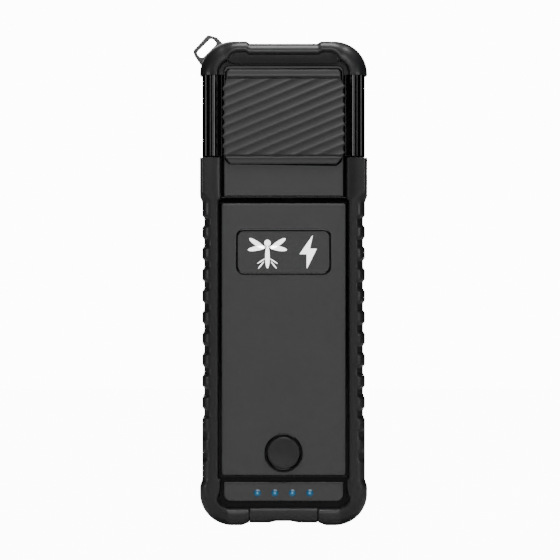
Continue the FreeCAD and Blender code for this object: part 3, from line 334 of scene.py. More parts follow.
@dataclass(frozen=True)
class CircuitBoard(Finish):
    """A green board: solder mask over copper tracks, with tinned pads in rows."""

    def paint(self, g: Graph) -> None:
        """Feeds the shader's sockets."""
        x, _, z = g.axes()
        wander = g.noise(4.0, 1.0) * 6.0
        tracks = ((x * 0.7 + wander).math("FRACT") - 0.5).math("ABSOLUTE").smooth(0.3, 0.36)
        row = ((x * 0.39).math("FRACT") - 0.5).math("ABSOLUTE")
        column = ((z * 0.39).math("FRACT") - 0.5).math("ABSOLUTE")
        pads = (1.0 - (row.math("MAXIMUM", column)).smooth(0.16, 0.2)) * g.noise(6.0).smooth(0.5, 0.56)
        mask = g.mix(tracks, (0.008, 0.06, 0.025), (0.02, 0.14, 0.05))
        g.set(
            Base_Color=g.mix(pads, mask, (0.6, 0.6, 0.58)),
            Metallic=pads * 0.9,
            Roughness=pads * 0.15 + g.noise(0.5) * 0.2 + 0.2,
            Normal=g.bump(tracks * 0.5 + pads, 0.04),
        )


@dataclass(frozen=True)
class Foil(Finish):
    """The crinkled aluminium skin of a pouch cell."""

    colour: Colour

    def paint(self, g: Graph) -> None:
        """Feeds the shader's sockets."""
        folds = g.cells(3.2)
        fine = g.noise(0.7, 4.0)
        g.set(
            Base_Color=g.mix(fine, tint(self.colour, 0.85), self.colour),
            Metallic=0.9,
            Roughness=fine * 0.2 + 0.22,
            Normal=g.bump(folds + fine * 0.4, 0.12),
        )


@dataclass(frozen=True)
class Striped(Finish):
    """Wound wire or printed film: even stripes across one axis, each with its own tone, and painted shade that
    darkens every stripe at its edges and lightens it along its middle.

    Attributes:
        colour: Base colour.
        pitch: Width of a stripe in millimetres.
        axis: Which axis the stripes follow one another along: 0, 1 or 2.
        metallic: How metallic the stripes are.
    """

    colour: Colour
    pitch: float
    axis: int
    metallic: float = 0.0

    def paint(self, g: Graph) -> None:
        """Feeds the shader's sockets."""
        across = g.axes()[self.axis] / self.pitch
        ridge = 1.0 - ((across.math("FRACT") - 0.5).math("ABSOLUTE") * 2.0).math("POWER", 2.0)
        shade = g.add("ShaderNodeTexWhiteNoise", {"noise_dimensions": "1D"}, {"W": across.math("FLOOR")})
        g.set(
            # Painted shade and highlight: the ridge term lightens each stripe along its middle and darkens it at
            # its edges; the white noise gives each stripe its own tone.
            Base_Color=g.mix(shade * 0.5 + ridge * 0.4, tint(self.colour, 0.5), tint(self.colour, 1.15)),
            Metallic=self.metallic,
            Roughness=g.noise(0.8) * 0.2 + 0.25,
            Normal=g.bump(ridge, self.pitch * 0.35),
        )


@dataclass(frozen=True)
class LampLens(Finish):
    """A lit charge lamp under a clear lens: a pale core in a blue glow that dies off towards the rim.

    Attributes:
        pitch: Distance between lamps in millimetres.
        height: The lamps' height in millimetres.
    """

    pitch: float
    height: float

    def paint(self, g: Graph) -> None:
        """Feeds the shader's sockets."""
        x, _, z = g.axes()
        across = ((x / self.pitch).math("FRACT") - 0.5) * self.pitch
        up = z - self.height
        radius = (across * across + up * up).math("SQRT") + g.noise(0.3) * 0.12
        stops = [(0.0, (0.4, 0.6, 0.78)), (0.16, (0.12, 0.34, 0.58)), (0.36, (0.01, 0.08, 0.16)),
                 (1.0, (0.004, 0.035, 0.07))]
        glow = g.add("ShaderNodeValToRGB", {"stops": stops}, {0: radius / 1.45})
        g.set(
            Base_Color=g.mix(radius.smooth(0.3, 1.3), (0.02, 0.08, 0.14), (0.01, 0.03, 0.06)),
            Roughness=g.noise(0.6) * 0.1 + 0.12,
            Emission_Color=glow,
            Emission_Strength=1.0,
            Normal=g.bump(g.noise(0.4), 0.01),
        )


@dataclass(frozen=True)
class Speckled(Finish):
    """Plain small parts: ceramic, foam, glass or ink, told apart by pore size, relief and clearness. The glow is
    painted light: it makes the white label ink shine though the ink is no lamp.
    """

    colour: Colour
    pore: float
    relief: float
    roughness: float
    transmission: float = 0.0
    glow: float = 0.0

    def paint(self, g: Graph) -> None:
        """Feeds the shader's sockets."""
        pores = g.cells(self.pore)
        cloud = g.noise(self.pore * 6.0, 3.0)
        g.set(
            Base_Color=g.mix(pores * 0.5 + cloud * 0.4, tint(self.colour, 0.75), tint(self.colour, 1.1)),
            Roughness=cloud * 0.14 + (self.roughness - 0.07),
            Transmission_Weight=self.transmission,
            Emission_Color=(*self.colour, 1.0),
            Emission_Strength=self.glow,
            Normal=g.bump(pores, self.relief),
        )


class Finishes:
    """Every finish, under the material slot that it belongs to."""

    def __init__(self) -> None:
        """Makes the materials."""
        lamp_low, lamp_high = box_mm("light_pipes")
        lamp_height = (lamp_low[2] + lamp_high[2]) / 2
        kinds = (
            Moulded("bumper_rubber", (0.011, 0.011, 0.012), 0.4, 0.3, 0.008, 0.12),
            Moulded("cover_rubber", (0.022, 0.022, 0.023), 0.42, 0.3, 0.008, 0.1),
            Moulded("pad_rubber", (0.052, 0.052, 0.053), 0.5, 0.22, 0.01),
            Moulded("casing_black", (0.02, 0.02, 0.021), 0.5, 0.35, 0.02),
            Moulded("casing_inner", (0.05, 0.05, 0.052), 0.5, 0.4, 0.01),
            Polished("casing_gloss", (0.0022, 0.0022, 0.0024), 0.07),
            SatinPlate("plate_graphite", (0.068, 0.068, 0.069)),
            Polished("button_ring", (0.002, 0.002, 0.002), 0.12),
            Moulded("button_rubber", (0.018, 0.018, 0.019), 0.42, 0.2, 0.006),
            Moulded("switch_plastic", (0.04, 0.04, 0.045)),
            LampLens("lamp_lens", (lamp_high[0] - lamp_low[0] - 2.6) / 3, lamp_height),
            Speckled("lamp_chip", (0.8, 0.8, 0.75), 0.2, 0.01, 0.4),
            CircuitBoard("circuit_board"),
            Metal("port_steel", (0.65, 0.66, 0.68), 0.22),
            Moulded("chip_resin", (0.02, 0.02, 0.02), 0.6, 0.15, 0.01),
            Foil("cell_foil", (0.62, 0.63, 0.65)),
            Speckled("foam_grey", (0.12, 0.12, 0.13), 0.5, 0.2, 0.9),
            Striped("cable_orange", (0.55, 0.24, 0.04), 0.6, 0),
            Moulded("lead_red", (0.45, 0.02, 0.02), 0.45, 0.5, 0.004),
            Moulded("lead_black", (0.02, 0.02, 0.02), 0.45, 0.5, 0.004),
            Speckled("ferrite", (0.05, 0.05, 0.052), 0.3, 0.02, 0.6),
            Striped("winding_copper", (0.5, 0.2, 0.08), 0.35, 2, 0.9),
            Striped("capacitor_sleeve", (0.03, 0.06, 0.2), 4.0, 0),
            Metal("contact_brass", (0.7, 0.52, 0.2), 0.25),
            Speckled("reed_glass", (0.6, 0.75, 0.7), 1.0, 0.002, 0.08, 0.9),
            Metal("steel_bright", (0.5, 0.5, 0.52), 0.3, (1.0, 0.3, 1.0)),
            SatinPlate("loop_graphite", (0.085, 0.085, 0.087), 0.4),
            Moulded("rail_black", (0.02, 0.02, 0.021), 0.38, 0.5, 0.006),
            Speckled("collar_white", (0.75, 0.75, 0.72), 0.6, 0.004, 0.35),
            Metal("magnet_nickel", (0.6, 0.6, 0.6), 0.18),
            Metal("net_steel", (0.62, 0.63, 0.65), 0.24, (0.3, 1.0, 0.3)),
            # Painted light: the white label ink glows, though it is print and no lamp.
            Speckled("mark_white", (0.9, 0.9, 0.9), 0.4, 0.004, 0.45, glow=2.5),
        )
        self.made = {finish.name: finish.build() for finish in kinds}

    def __getitem__(self, slot: str) -> bpy.types.Material:
        """The material of a slot."""
        return self.made[slot]

    def dress_frame(self) -> None:
        """Gives every node of the frame the finish of its slot."""
        for row in frame["record"]["subparts"]:
            node = frame["nodes"][row["node"]]
            material = self.made[row["material_slot"]]
            if not node.material_slots:
                node.data.materials.append(material)
            for place in node.material_slots:
                place.material = material
            LOG.info("dressed %s in %s", node.name, material.name)


# ---------------------------------------------------------------- surfaces


def box_mm(node: str) -> tuple[Array, Array]:
    """The lowest and the highest corner of a node of the frame, in millimetres."""
    low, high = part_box(node)
    return np.array(low) / MM, np.array(high) / MM


def smooth_step(values: Array, start: float, width: float) -> Array:
    """A soft step from nought at start to one at start + width: 3t^2 - 2t^3."""
    t = np.clip((values - start) / width, 0.0, 1.0)
    return t * t * (3.0 - 2.0 * t)


def unit(vectors: Array) -> Array:
    """Vectors brought to length one."""
    return vectors / np.maximum(np.linalg.norm(vectors, axis=-1, keepdims=True), 1e-9)


def rounded_outline(corners: list[tuple[float, float, float]], steps: int = 8) -> Array:
    """A closed outline whose corners are arcs.

    Each corner (x, z, r) gives an arc of radius r tangent to its two sides. Its centre lies on their bisector,
    r / sin(half the angle) from the corner.

    Args:
        corners: The corners, counter-clockwise, with their radii.
        steps: Points on each arc.

    Returns:
        The points, as rows of x and z.
    """
    table = np.array(corners, float)
    corner, radius = table[:, :2], table[:, 2:3]
    back = unit(np.roll(corner, 1, 0) - corner)
    ahead = unit(np.roll(corner, -1, 0) - corner)
    half = np.arccos(np.clip((back * ahead).sum(1, keepdims=True), -1, 1)) / 2
    centre = corner + unit(back + ahead) * radius / np.sin(half)
    first = corner + back * radius / np.tan(half) - centre
    last = corner + ahead * radius / np.tan(half) - centre
    turn = np.maximum(np.pi - 2 * half, 1e-6)[:, None, :]
    t = np.linspace(0, 1, steps)[None, :, None]
    arc = (np.sin((1 - t) * turn) * first[:, None] + np.sin(t * turn) * last[:, None]) / np.sin(turn)
    return (centre[:, None] + arc).reshape(-1, 2)


def rectangle(half: float, z: tuple[float, float], radius: float, steps: int = 8, upper: float = 0.0) -> Array:
    """A counter-clockwise rectangle about the middle plane; its upper corners may have their own radius."""
    above = upper or radius
    corners = [(-half, z[0], radius), (half, z[0], radius), (half, z[1], above), (-half, z[1], above)]
    return rounded_outline(corners, steps)


def quarter(radius: float, steps: int = 6) -> list[tuple[float, float]]:
    """A rounded edge as pairs of inset r(1 - cos a) and depth r(1 - sin a), a from 0 to 90 degrees."""
    angles = np.radians(np.linspace(0, 90, steps))
    return [(radius * (1 - math.cos(a)), radius * (1 - math.sin(a))) for a in angles]


def inset(outline: Array, distance: float) -> Array:
    """An outline moved inwards: each point goes along the normal to its neighbours' chord."""
    chord = unit(np.roll(outline, -1, 0) - np.roll(outline, 1, 0))
    return outline + np.stack([-chord[:, 1], chord[:, 0]], 1) * distance


def rings_to_surface(rings: list[tuple[Array, float]]) -> Array:
    """Stacks outlines in x and z, each at its own y, into one grid of points."""
    flat = [np.column_stack([ring[:, 0], np.full(len(ring), y), ring[:, 1]]) for ring, y in rings]
    return np.stack(flat)


@dataclass
class Skin:
    """Grids of points gathered into one closed mesh."""

    points: list[Array] = field(default_factory=list)
    faces: list[list[int]] = field(default_factory=list)
    count: int = 0

    def grid(self, surface: Array, around: bool = False, along: bool = False) -> Skin:
        """Adds a surface of two parameters.

        Args:
            surface: Points as an array of rows, columns and coordinates.
            around: Whether the last column meets the first.
            along: Whether the last row meets the first.

        Returns:
            This skin.
        """
        rows, columns = surface.shape[:2]
        number = np.arange(rows * columns).reshape(rows, columns) + self.count
        number = np.vstack([number, number[:1]]) if along else number
        number = np.hstack([number, number[:, :1]]) if around else number
        quads = np.stack([number[:-1, :-1], number[:-1, 1:], number[1:, 1:], number[1:, :-1]], -1)
        self.faces += quads.reshape(-1, 4).tolist()
        self.points.append(surface.reshape(-1, 3))
        self.count += rows * columns
        return self

    def cap(self, loop: Array) -> Skin:
        """Closes a flat loop with one face."""
        self.faces.append(list(range(self.count, self.count + len(loop))))
        self.points.append(loop)
        self.count += len(loop)
        return self

    def capped(self, surface: Array) -> Skin:
        """Adds a surface closed round its columns, with a face over its first and its last row."""
        return self.grid(surface, around=True).cap(surface[0]).cap(surface[-1])

    def tunnel(self, loops: Array) -> Skin:
        """Adds rows that lie round a section, the last next to the first, with a face over both ends."""
        return self.grid(loops, along=True).cap(loops[:, 0]).cap(loops[:, -1])

    def ring(self, surface: Array) -> Skin:
        """Adds a surface that closes on itself both ways."""
        return self.grid(surface, around=True, along=True)


def close_seams(mesh: bpy.types.Mesh) -> None:
    """Merges points that meet and turns the faces outwards."""
    work = bmesh.new()
    work.from_mesh(mesh)
    bmesh.ops.remove_doubles(work, verts=work.verts, dist=2e-6)
    bmesh.ops.dissolve_degenerate(work, edges=work.edges, dist=1e-7)
    bmesh.ops.recalc_face_normals(work, faces=work.faces)
    work.to_mesh(mesh)
    work.free()


@dataclass
class Maker:
    """A maker of visible pieces, with the finishes that it dresses them in."""

    finishes: Finishes

    def piece(self, skin: Skin, name: str, part: Part, slot: str, *nodes: str, sharp: float = 38.0) -> None:
        """Makes a skin's object, closes its seams, turns its faces outwards and hangs it on its body.

        Args:
            skin: The skin.
            name: The piece's name.
            part: The body that it rides on.
            slot: The material slot of its finish.
            nodes: The nodes of the frame that it stands for.
            sharp: Edges that turn more than this many degrees stay crisp.
        """
        mesh = bpy.data.meshes.new(name)
        mesh.from_pydata(np.concatenate(skin.points) * MM, [], skin.faces)
        item = bpy.data.objects.new(name, mesh)
        bpy.context.scene.collection.objects.link(item)
        close_seams(mesh)
        mesh.polygons.foreach_set("use_smooth", np.ones(len(mesh.polygons), bool))
        mesh.set_sharp_from_angle(angle=math.radians(sharp))
        mesh.materials.append(self.finishes[slot])
        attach(item, part.value)
        if nodes:
            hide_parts(*nodes)
        LOG.info("made %s: %d faces on %s", name, len(mesh.polygons), part.value)


def slab(outline: Array, face: float, back: float, edge: float) -> Array:
    """A plate with a rounded edge, as rings from its back to the middle of its face."""
    towards = 1.0 if back > face else -1.0
    rings = [(inset(outline, 0.4), back), (outline, back)]
    rings += [(inset(outline, pull), face + towards * depth) for pull, depth in quarter(edge)]
    rings.append((inset(outline, edge + min(0.5, 0.2 * edge)), face))
    return rings_to_surface(rings)


def holed_slab(outline: Array, hole: Array, face: float, back: float, edge: float) -> Array:
    """A plate with a hole, as rings that go round its section: back, outer edge, face, hole edge, back.

    Points of the face lie on straight lines from the outline to the hole, at equal shares of their length.
    """
    outer = [(inset(outline, pull), face + depth) for pull, depth in quarter(edge)]
    inner = [(inset(hole, -pull), face + depth) for pull, depth in quarter(edge)[::-1]]
    start, end = inset(outline, edge + 0.5), inset(hole, -edge - 0.3)
    middle = [(start + (end - start) * share, face) for share in (0.0, 0.33, 0.67, 1.0)]
    return rings_to_surface([(outline, back), *outer, *middle, *inner, (hole, back)])


def lathe(profile: Array, centre: tuple[float, float], steps: int = 64) -> Array:
    """A profile of radius and y turned about an axis along y through a centre in x and z."""
    angle = np.linspace(0, 2 * np.pi, steps, endpoint=False)
    x = centre[0] + profile[:, :1] * np.cos(angle)
    z = centre[1] + profile[:, :1] * np.sin(angle)
    return np.stack([x, np.broadcast_to(profile[:, 1:], x.shape), z], -1)


def circle(centre: tuple[float, float], radius: float | Array, angles: Array) -> Array:
    """Points about a centre at given angles, all at one radius or each at its own."""
    return np.column_stack([centre[0] + radius * np.cos(angles), centre[1] + radius * np.sin(angles)])


def tubes(paths: Array, radius: float, sides: int = 8) -> Array:
    """Round tubes about paths, closed at both ends.

    Args:
        paths: Centre lines, as lines, places and coordinates; each runs mostly along one axis.
        radius: Radius of the wires.
        sides: Faces round each.

    Returns:
        Points as lines, places, sides and coordinates, each point at radius * (side cos a + up sin a).
    """
    heading = unit(np.gradient(paths, axis=1))
    depth = np.broadcast_to([0.0, 1.0, 0.0], heading.shape)
    side = unit(np.cross(heading, depth))
    up = np.cross(side, heading)
    angle = np.linspace(0, 2 * np.pi, sides, endpoint=False)[None, None, :, None]
    return paths[:, :, None] + radius * (side[:, :, None] * np.cos(angle) + up[:, :, None] * np.sin(angle))


# ---------------------------------------------------------------- rubber frames

SIDE_DEPTHS = (-6.5, -4.0, -1.92, -1.86, 2.5, 5.5, 8.5)  # depths of the rows across a frame's flat side
ROLL = ((1.4, 1.0), (1.33, 1.0), (1.27, 0.85), (1.18, 0.3), (1.08, 0.04))  # shares of the radius and of the step


@dataclass
class RubberSection:
    """The section of a rubber frame that grips a casing on all four sides.

    From the front lip it climbs a slope to the crest, rounds over to the side, crosses to the rear and comes back
    to the rear lip; inside, it lies on the casing.

    Attributes:
        crest: Distance of the crests from the middle plane.
        seat_front: Where the front lip stands on the casing.
        seat_rear: Where the rear lip stands on the casing.
    """

    crest: float
    seat_front: float
    seat_rear: float

    def lip(self, seat: float, width: Array) -> list[Array]:
        """Rows of distance from the lip's edge and depth, from the casing up a rounded slope to the crest."""
        share = np.array([0.0, 0.03, 0.06, 0.3, 0.65, 0.86, 0.96, 1.0])
        reach = np.array([0.0, 0.3, 0.55, 0.64, 0.74, 0.82, 0.9, 1.0])
        depth = abs(seat) + (self.crest - abs(seat)) * share
        return [(r * width, np.sign(seat) * y) for r, y in zip(reach, depth)]

    def carry(self, outer: Array, front_lip: Array, rear_lip: Array, seat: Array, width: Array, rounding: Array,
              grooves: Array | float = 0.0, marks: Array | float = 0.0, sunk: Array | float = 0.0) -> Array:
        """Carries the section along a frame.

        A point near a lip is lip + t * reach, one near the outside is outer - t * depth, where t is the unit
        vector from the lip to the outline. Grooves push the outside in, less and less over the rounding.

        Args:
            outer: The outline, as rows of x and z.
            front_lip: The front lip's edge, matched point for point.
            rear_lip: The rear lip's edge.
            seat: The casing's outline.
            width: Width of the lip's slope at each point.
            rounding: Radius of the front outer edge at each point.
            grooves: Depth of the side grooves at each point.
            marks: Depth of the grooves that mark only the rounding.
            sunk: How far the slope's foot lies behind the crest, as a step under a roll.

        Returns:
            Points as places along the frame, places round the section and coordinates.
        """
        sides = []
        flat = np.zeros(len(outer))
        faces = ((self.seat_front, front_lip, rounding), (self.seat_rear, rear_lip, flat + 3.4))
        for seat_y, lip, radius in faces:
            sign, out = np.sign(seat_y), unit(outer - lip)
            room = np.linalg.norm(outer - lip, axis=1)
            rows = []
            for reach, y in self.lip(seat_y, np.minimum(width, room - radius - 0.2)):
                drop = sunk * (abs(y) - abs(seat_y)) / (self.crest - abs(seat_y))
                rows.append(self.row(lip + out * reach[:, None], y - sign * drop))
            for share, fall in ROLL:
                away = np.minimum(radius * share, room - reach - 0.05)
                rows.append(self.row(outer - out * away[:, None], sign * (self.crest - sunk * fall)))
            for a in np.radians(np.linspace(0, 90, 13)):
                push = radius * (1 - math.sin(a)) + grooves * math.sin(a) ** 0.7 + marks * math.sin(2 * a)
                fall = radius * (1 - math.cos(a))
                rows.append(self.row(outer - out * push[:, None], sign * (self.crest - fall)))
            sides.append(rows)
        wall = outer - unit(outer - front_lip) * (flat + grooves)[:, None]
        across = [self.row(wall, y) for y in SIDE_DEPTHS]
        inside = [self.row(seat, self.seat_rear), self.row(seat, self.seat_front)]
        return np.stack([*sides[0], *across, *sides[1][::-1], *inside], 1)

    @staticmethod
    def row(points: Array, y: Array | float) -> Array:
        """Points in x and z set at a depth."""
        return np.column_stack([points[:, 0], np.full(len(points), y) if np.isscalar(y) else y, points[:, 1]])


def both_ways(right: Array) -> Array:
    """A half outline that starts on the middle plane, with its mirror image in front of it."""
    left = right[:0:-1] * np.array([-1.0, 1.0])
    return np.concatenate([left, right])


@dataclass
class HandleBumper(Maker):
    """The frame round the handle: boot with feet, grooved grip and sleeve, and the bars across its openings."""

    half: float = 29.0
    relief: float = 0.8
    corner: float = 11.0
    groove_pitch: float = 7.37
    groove_depth: float = 0.68
    groove_start: float = 38.95
    grooves: int = 10
    lip_corner: float = 2.4
    notch_depth: float = 1.7
    notch_floor: float = 2.95

    def __post_init__(self) -> None:
        """Takes the heights of the neighbours from the frame."""
        self.low, self.high = box_mm("handle_bumper")
        self.plate = box_mm("front_plate")
        self.lamps = box_mm("indicator_plate")
        self.tongue = box_mm("head_plate")
        self.cover = box_mm("port_cover")
        self.shell_front = box_mm("handle_front_shell")[0]
        self.shell_rear = box_mm("handle_rear_shell")[1]

    def half_width(self, z: Array) -> Array:
        """Half width of the side at a height: full at the boot and the sleeve, relieved along the grip."""
        return self.half - self.relief * (smooth_step(z, 13.2, 3.2) - smooth_step(z, self.high[2] - 15.9, 2.8))

    def base_height(self, x: Array) -> Array:
        """Height of the underside: feet at nought, a step up to the middle and a shallow dome there."""
        return 0.9 * (1 - smooth_step(x, 11.8, 3.1)) + 0.74 * (1 - smooth_step(x, 2.2, 3.1))

    def path(self, floor: float, side: Callable[[Array], Array], corner: float, base: bool) -> Array:
        """Half of a U: along the bottom from the middle, round a corner and up the side.

        Args:
            floor: Height of the bottom.
            side: Half width at a height.
            corner: Radius of the corner.
            base: Whether the bottom follows the feet.

        Returns:
            Points in x and z, as many for every U, so that they match.
        """
        turn = floor + corner
        reach = side(np.array([turn]))[0] - corner
        share = np.concatenate([np.linspace(0, 0.66, 60), [0.6665, 0.6675], np.linspace(0.68, 1, 40)])
        x = share * reach
        bottom = np.column_stack([x, floor + (self.base_height(x) if base else 0 * x)])
        angles = np.radians(np.linspace(0, 90, 26)[1:])
        arc = np.column_stack([reach + corner * np.sin(angles), turn - corner * np.cos(angles)])
        z = turn + (self.high[2] - turn) * np.linspace(0, 1, 420)[1:]
        return np.concatenate([bottom, arc, np.column_stack([side(z), z])])

    def groove_profile(self, z: Array, starts: Array) -> Array:
        """Depth of a row of grooves at a height: each falls smoothly from its mouth to a flat floor."""
        apart = np.abs(z[:, None] - starts[None, :]).min(1)
        return 1 - smooth_step(apart, 1.0, 1.25)

    def frame_skin(self) -> Skin:
        """The frame itself."""
        plate_half = self.plate[1][0] - 0.05
        tongue_half = self.tongue[1][0] + 0.05
        wide = plate_half - tongue_half
        bar_low = (self.lamps[1][2] + self.plate[0][2]) / 2
        bar_high = (self.plate[1][2] + self.tongue[0][2]) / 2

        def front_side(z: Array) -> Array:
            """Half width of the front openings: wider beside the main plate."""
            opened = smooth_step(z, bar_low - 0.5, 1.0) - smooth_step(z, bar_high - 0.5, 1.0)
            return tongue_half + wide * opened

        section = RubberSection(self.high[1], self.shell_front[1], self.shell_rear[1])
        outer = both_ways(self.path(0.0, self.half_width, self.corner, True))
        front = both_ways(self.path(self.lamps[0][2] - 0.15, front_side, self.lip_corner, False))
        rear = both_ways(self.path(self.plate[0][2], lambda z: np.full(len(z), plate_half), 2.0, False))
        shell_half = self.shell_rear[0]
        seat = both_ways(self.path(self.shell_front[2], lambda z: np.full(len(z), shell_half), 8.0, False))
        starts = self.groove_start + self.groove_pitch * np.arange(self.grooves)
        marks = self.groove_start - self.groove_pitch * np.arange(1, 3)
        x, z = np.abs(outer[:, 0]), outer[:, 1]
        grooves = self.groove_depth * self.groove_profile(z, starts) * (z > self.corner)
        bevel = 0.45 * self.groove_profile(z, np.concatenate([starts, marks])) * (z > self.corner)
        beside = smooth_step(z, 4.5, 10.0)
        boot = smooth_step(x, 19.0, 2.5) * (1 - beside)
        sleeve = smooth_step(z, self.high[2] - 14.5, 2.5)
        slope = 3.4 - 1.8 * beside
        rounding = 2.2 + 1.0 * beside + 2.6 * boot - 1.6 * sleeve
        self.casing_and_shade_strip(front, outer, slope)
        surface = section.carry(outer, front, rear, seat, slope, rounding, grooves, bevel)
        self.sink_cover(surface)
        return Skin().tunnel(surface.transpose(1, 0, 2))

    def casing_and_shade_strip(self, lip: Array, outer: Array, width: Array) -> None:
        """Makes a strip of glossy black casing from the lip outwards; it stands for casing seen between the
        plates and the rubber's wall, and it is also painted shade over the foot of the rubber's slope, so that
        the moat round the plates reads black.
        """
        # Painted shade in part: the strip covers the lower part of the rubber's slope with black gloss.
        out = unit(outer - lip) * (width * 0.7)[:, None]
        front = self.shell_front[1]
        rows = [(lip, front + 0.3), (lip, front - 0.25), (lip + out, front - 0.25), (lip + out, front + 0.3)]
        loops = np.stack([RubberSection.row(points, y) for points, y in rows])
        self.piece(Skin().tunnel(loops), "casing_strip_and_shade", Part.HANDLE, "casing_gloss")

    def sink_cover(self, surface: Array) -> None:
        """Presses in the notch that the port cover lies in."""
        low, high = self.cover
        x, y, z = surface[..., 0], surface[..., 1], surface[..., 2]
        notch = np.abs(x) < high[0] + 0.2
        face = notch & (z < high[2] + 0.25) & (y < -10.0)
        floor = notch & (y < high[1] + 0.2) & (z < self.notch_floor)
        surface[..., 1] = np.where(face, np.maximum(y, low[1] + self.notch_depth), y)
        surface[..., 2] = np.where(floor, self.notch_floor, z)

    def bars(self) -> list[Skin]:
        """The two bars across the front and the panel across the sleeve's rear."""
        front = self.shell_front[1]
        reach = self.plate[1][0] + 0.6
        skins = []
        for below, above in ((self.lamps, self.plate), (self.plate, self.tongue)):
            outline = rectangle(reach, (below[1][2] + 0.15, above[0][2] - 0.15), 0.3, 4)
            skins.append(Skin().capped(slab(outline, front - 0.7, front + 0.2, 0.2)))
        high = self.high[2]
        outline = rectangle(reach + 2.2, (self.plate[1][2], high - 0.02), 1.2, 5)
        skins.append(Skin().capped(slab(outline, self.high[1] - 0.03, self.shell_rear[1], 0.5)))
        return skins

    def build(self) -> None:
        """Makes the frame and its bars."""
        rubber = self.frame_skin()
        self.piece(rubber, "handle_bumper_rubber", Part.HANDLE, "bumper_rubber", "handle_bumper", sharp=42.0)
        slots = ("casing_gloss", "casing_gloss", "bumper_rubber")
        for name, slot, skin in zip(("lower_bar", "upper_bar", "sleeve_back"), slots, self.bars()):
            self.piece(skin, name, Part.HANDLE, slot)


@dataclass
class CapBumper(Maker):
    """The soft cap over the head: two knuckles on top, rounded shoulders and a lip over the head plate."""

    half: float = 29.0
    corner: float = 11.3
    knuckle: float = 12.7
    rise: float = 0.8
    lip_corner: float = 2.0

    def __post_init__(self) -> None:
        """Takes the cap's place from the frame."""
        self.low, self.high = box_mm("cap_bumper")
        self.plate_low, self.plate_high = box_mm("head_plate")
        self.shell_front = box_mm("head_front_shell")[0]
        self.core_top = box_mm("head_front_shell")[1][2]

    def arch(self, side: float, top: float, corner: float, shaped: bool) -> Array:
        """Half of an arch: from the top's middle, round the shoulder and down the side.

        Args:
            side: Half width.
            top: Height of the top.
            corner: Radius of the shoulder.
            shaped: Whether the top has its knuckles.

        Returns:
            Points in x and z, as many for every arch.
        """
        reach, turn = side - corner, top - corner
        x = np.linspace(0, 1, 90) * reach
        dip = self.rise * (1 - smooth_step(x, self.knuckle - 1.2, 1.6)) if shaped else 0 * x
        over = np.column_stack([x, top - dip])
        angles = np.radians(np.linspace(0, 90, 30)[1:])
        shoulder = np.column_stack([reach + corner * np.sin(angles), turn + corner * np.cos(angles)])
        z = np.linspace(turn, self.low[2], 5)[1:]
        return np.concatenate([over, shoulder, np.column_stack([np.full(4, side), z])])

    def build(self) -> None:
        """Makes the cap."""
        section = RubberSection(self.high[1], self.shell_front[1], 13.2)
        outer = both_ways(self.arch(self.half, self.high[2], self.corner, True))
        lip_half = self.plate_high[0] + 0.15
        front = both_ways(self.arch(lip_half, self.plate_high[2] + 0.15, self.lip_corner, False))
        rear = front.copy()
        rear[:, 1] = self.low[2]
        seat = both_ways(self.arch(self.half - 3.0, self.core_top, self.corner - 3.0, False))
        beyond = smooth_step(np.abs(outer[:, 0]), 15.5, 6.5)
        loops = section.carry(outer, front, rear, seat, 0.7 + 2.5 * beyond, 3.0 + 2.4 * beyond,
                              sunk=1.3 * (1 - beyond)).transpose(1, 0, 2)
        self.piece(Skin().tunnel(loops), "cap_rubber", Part.HEAD, "bumper_rubber", "cap_bumper", sharp=42.0)


# ---------------------------------------------------------------- plates, button and lamps


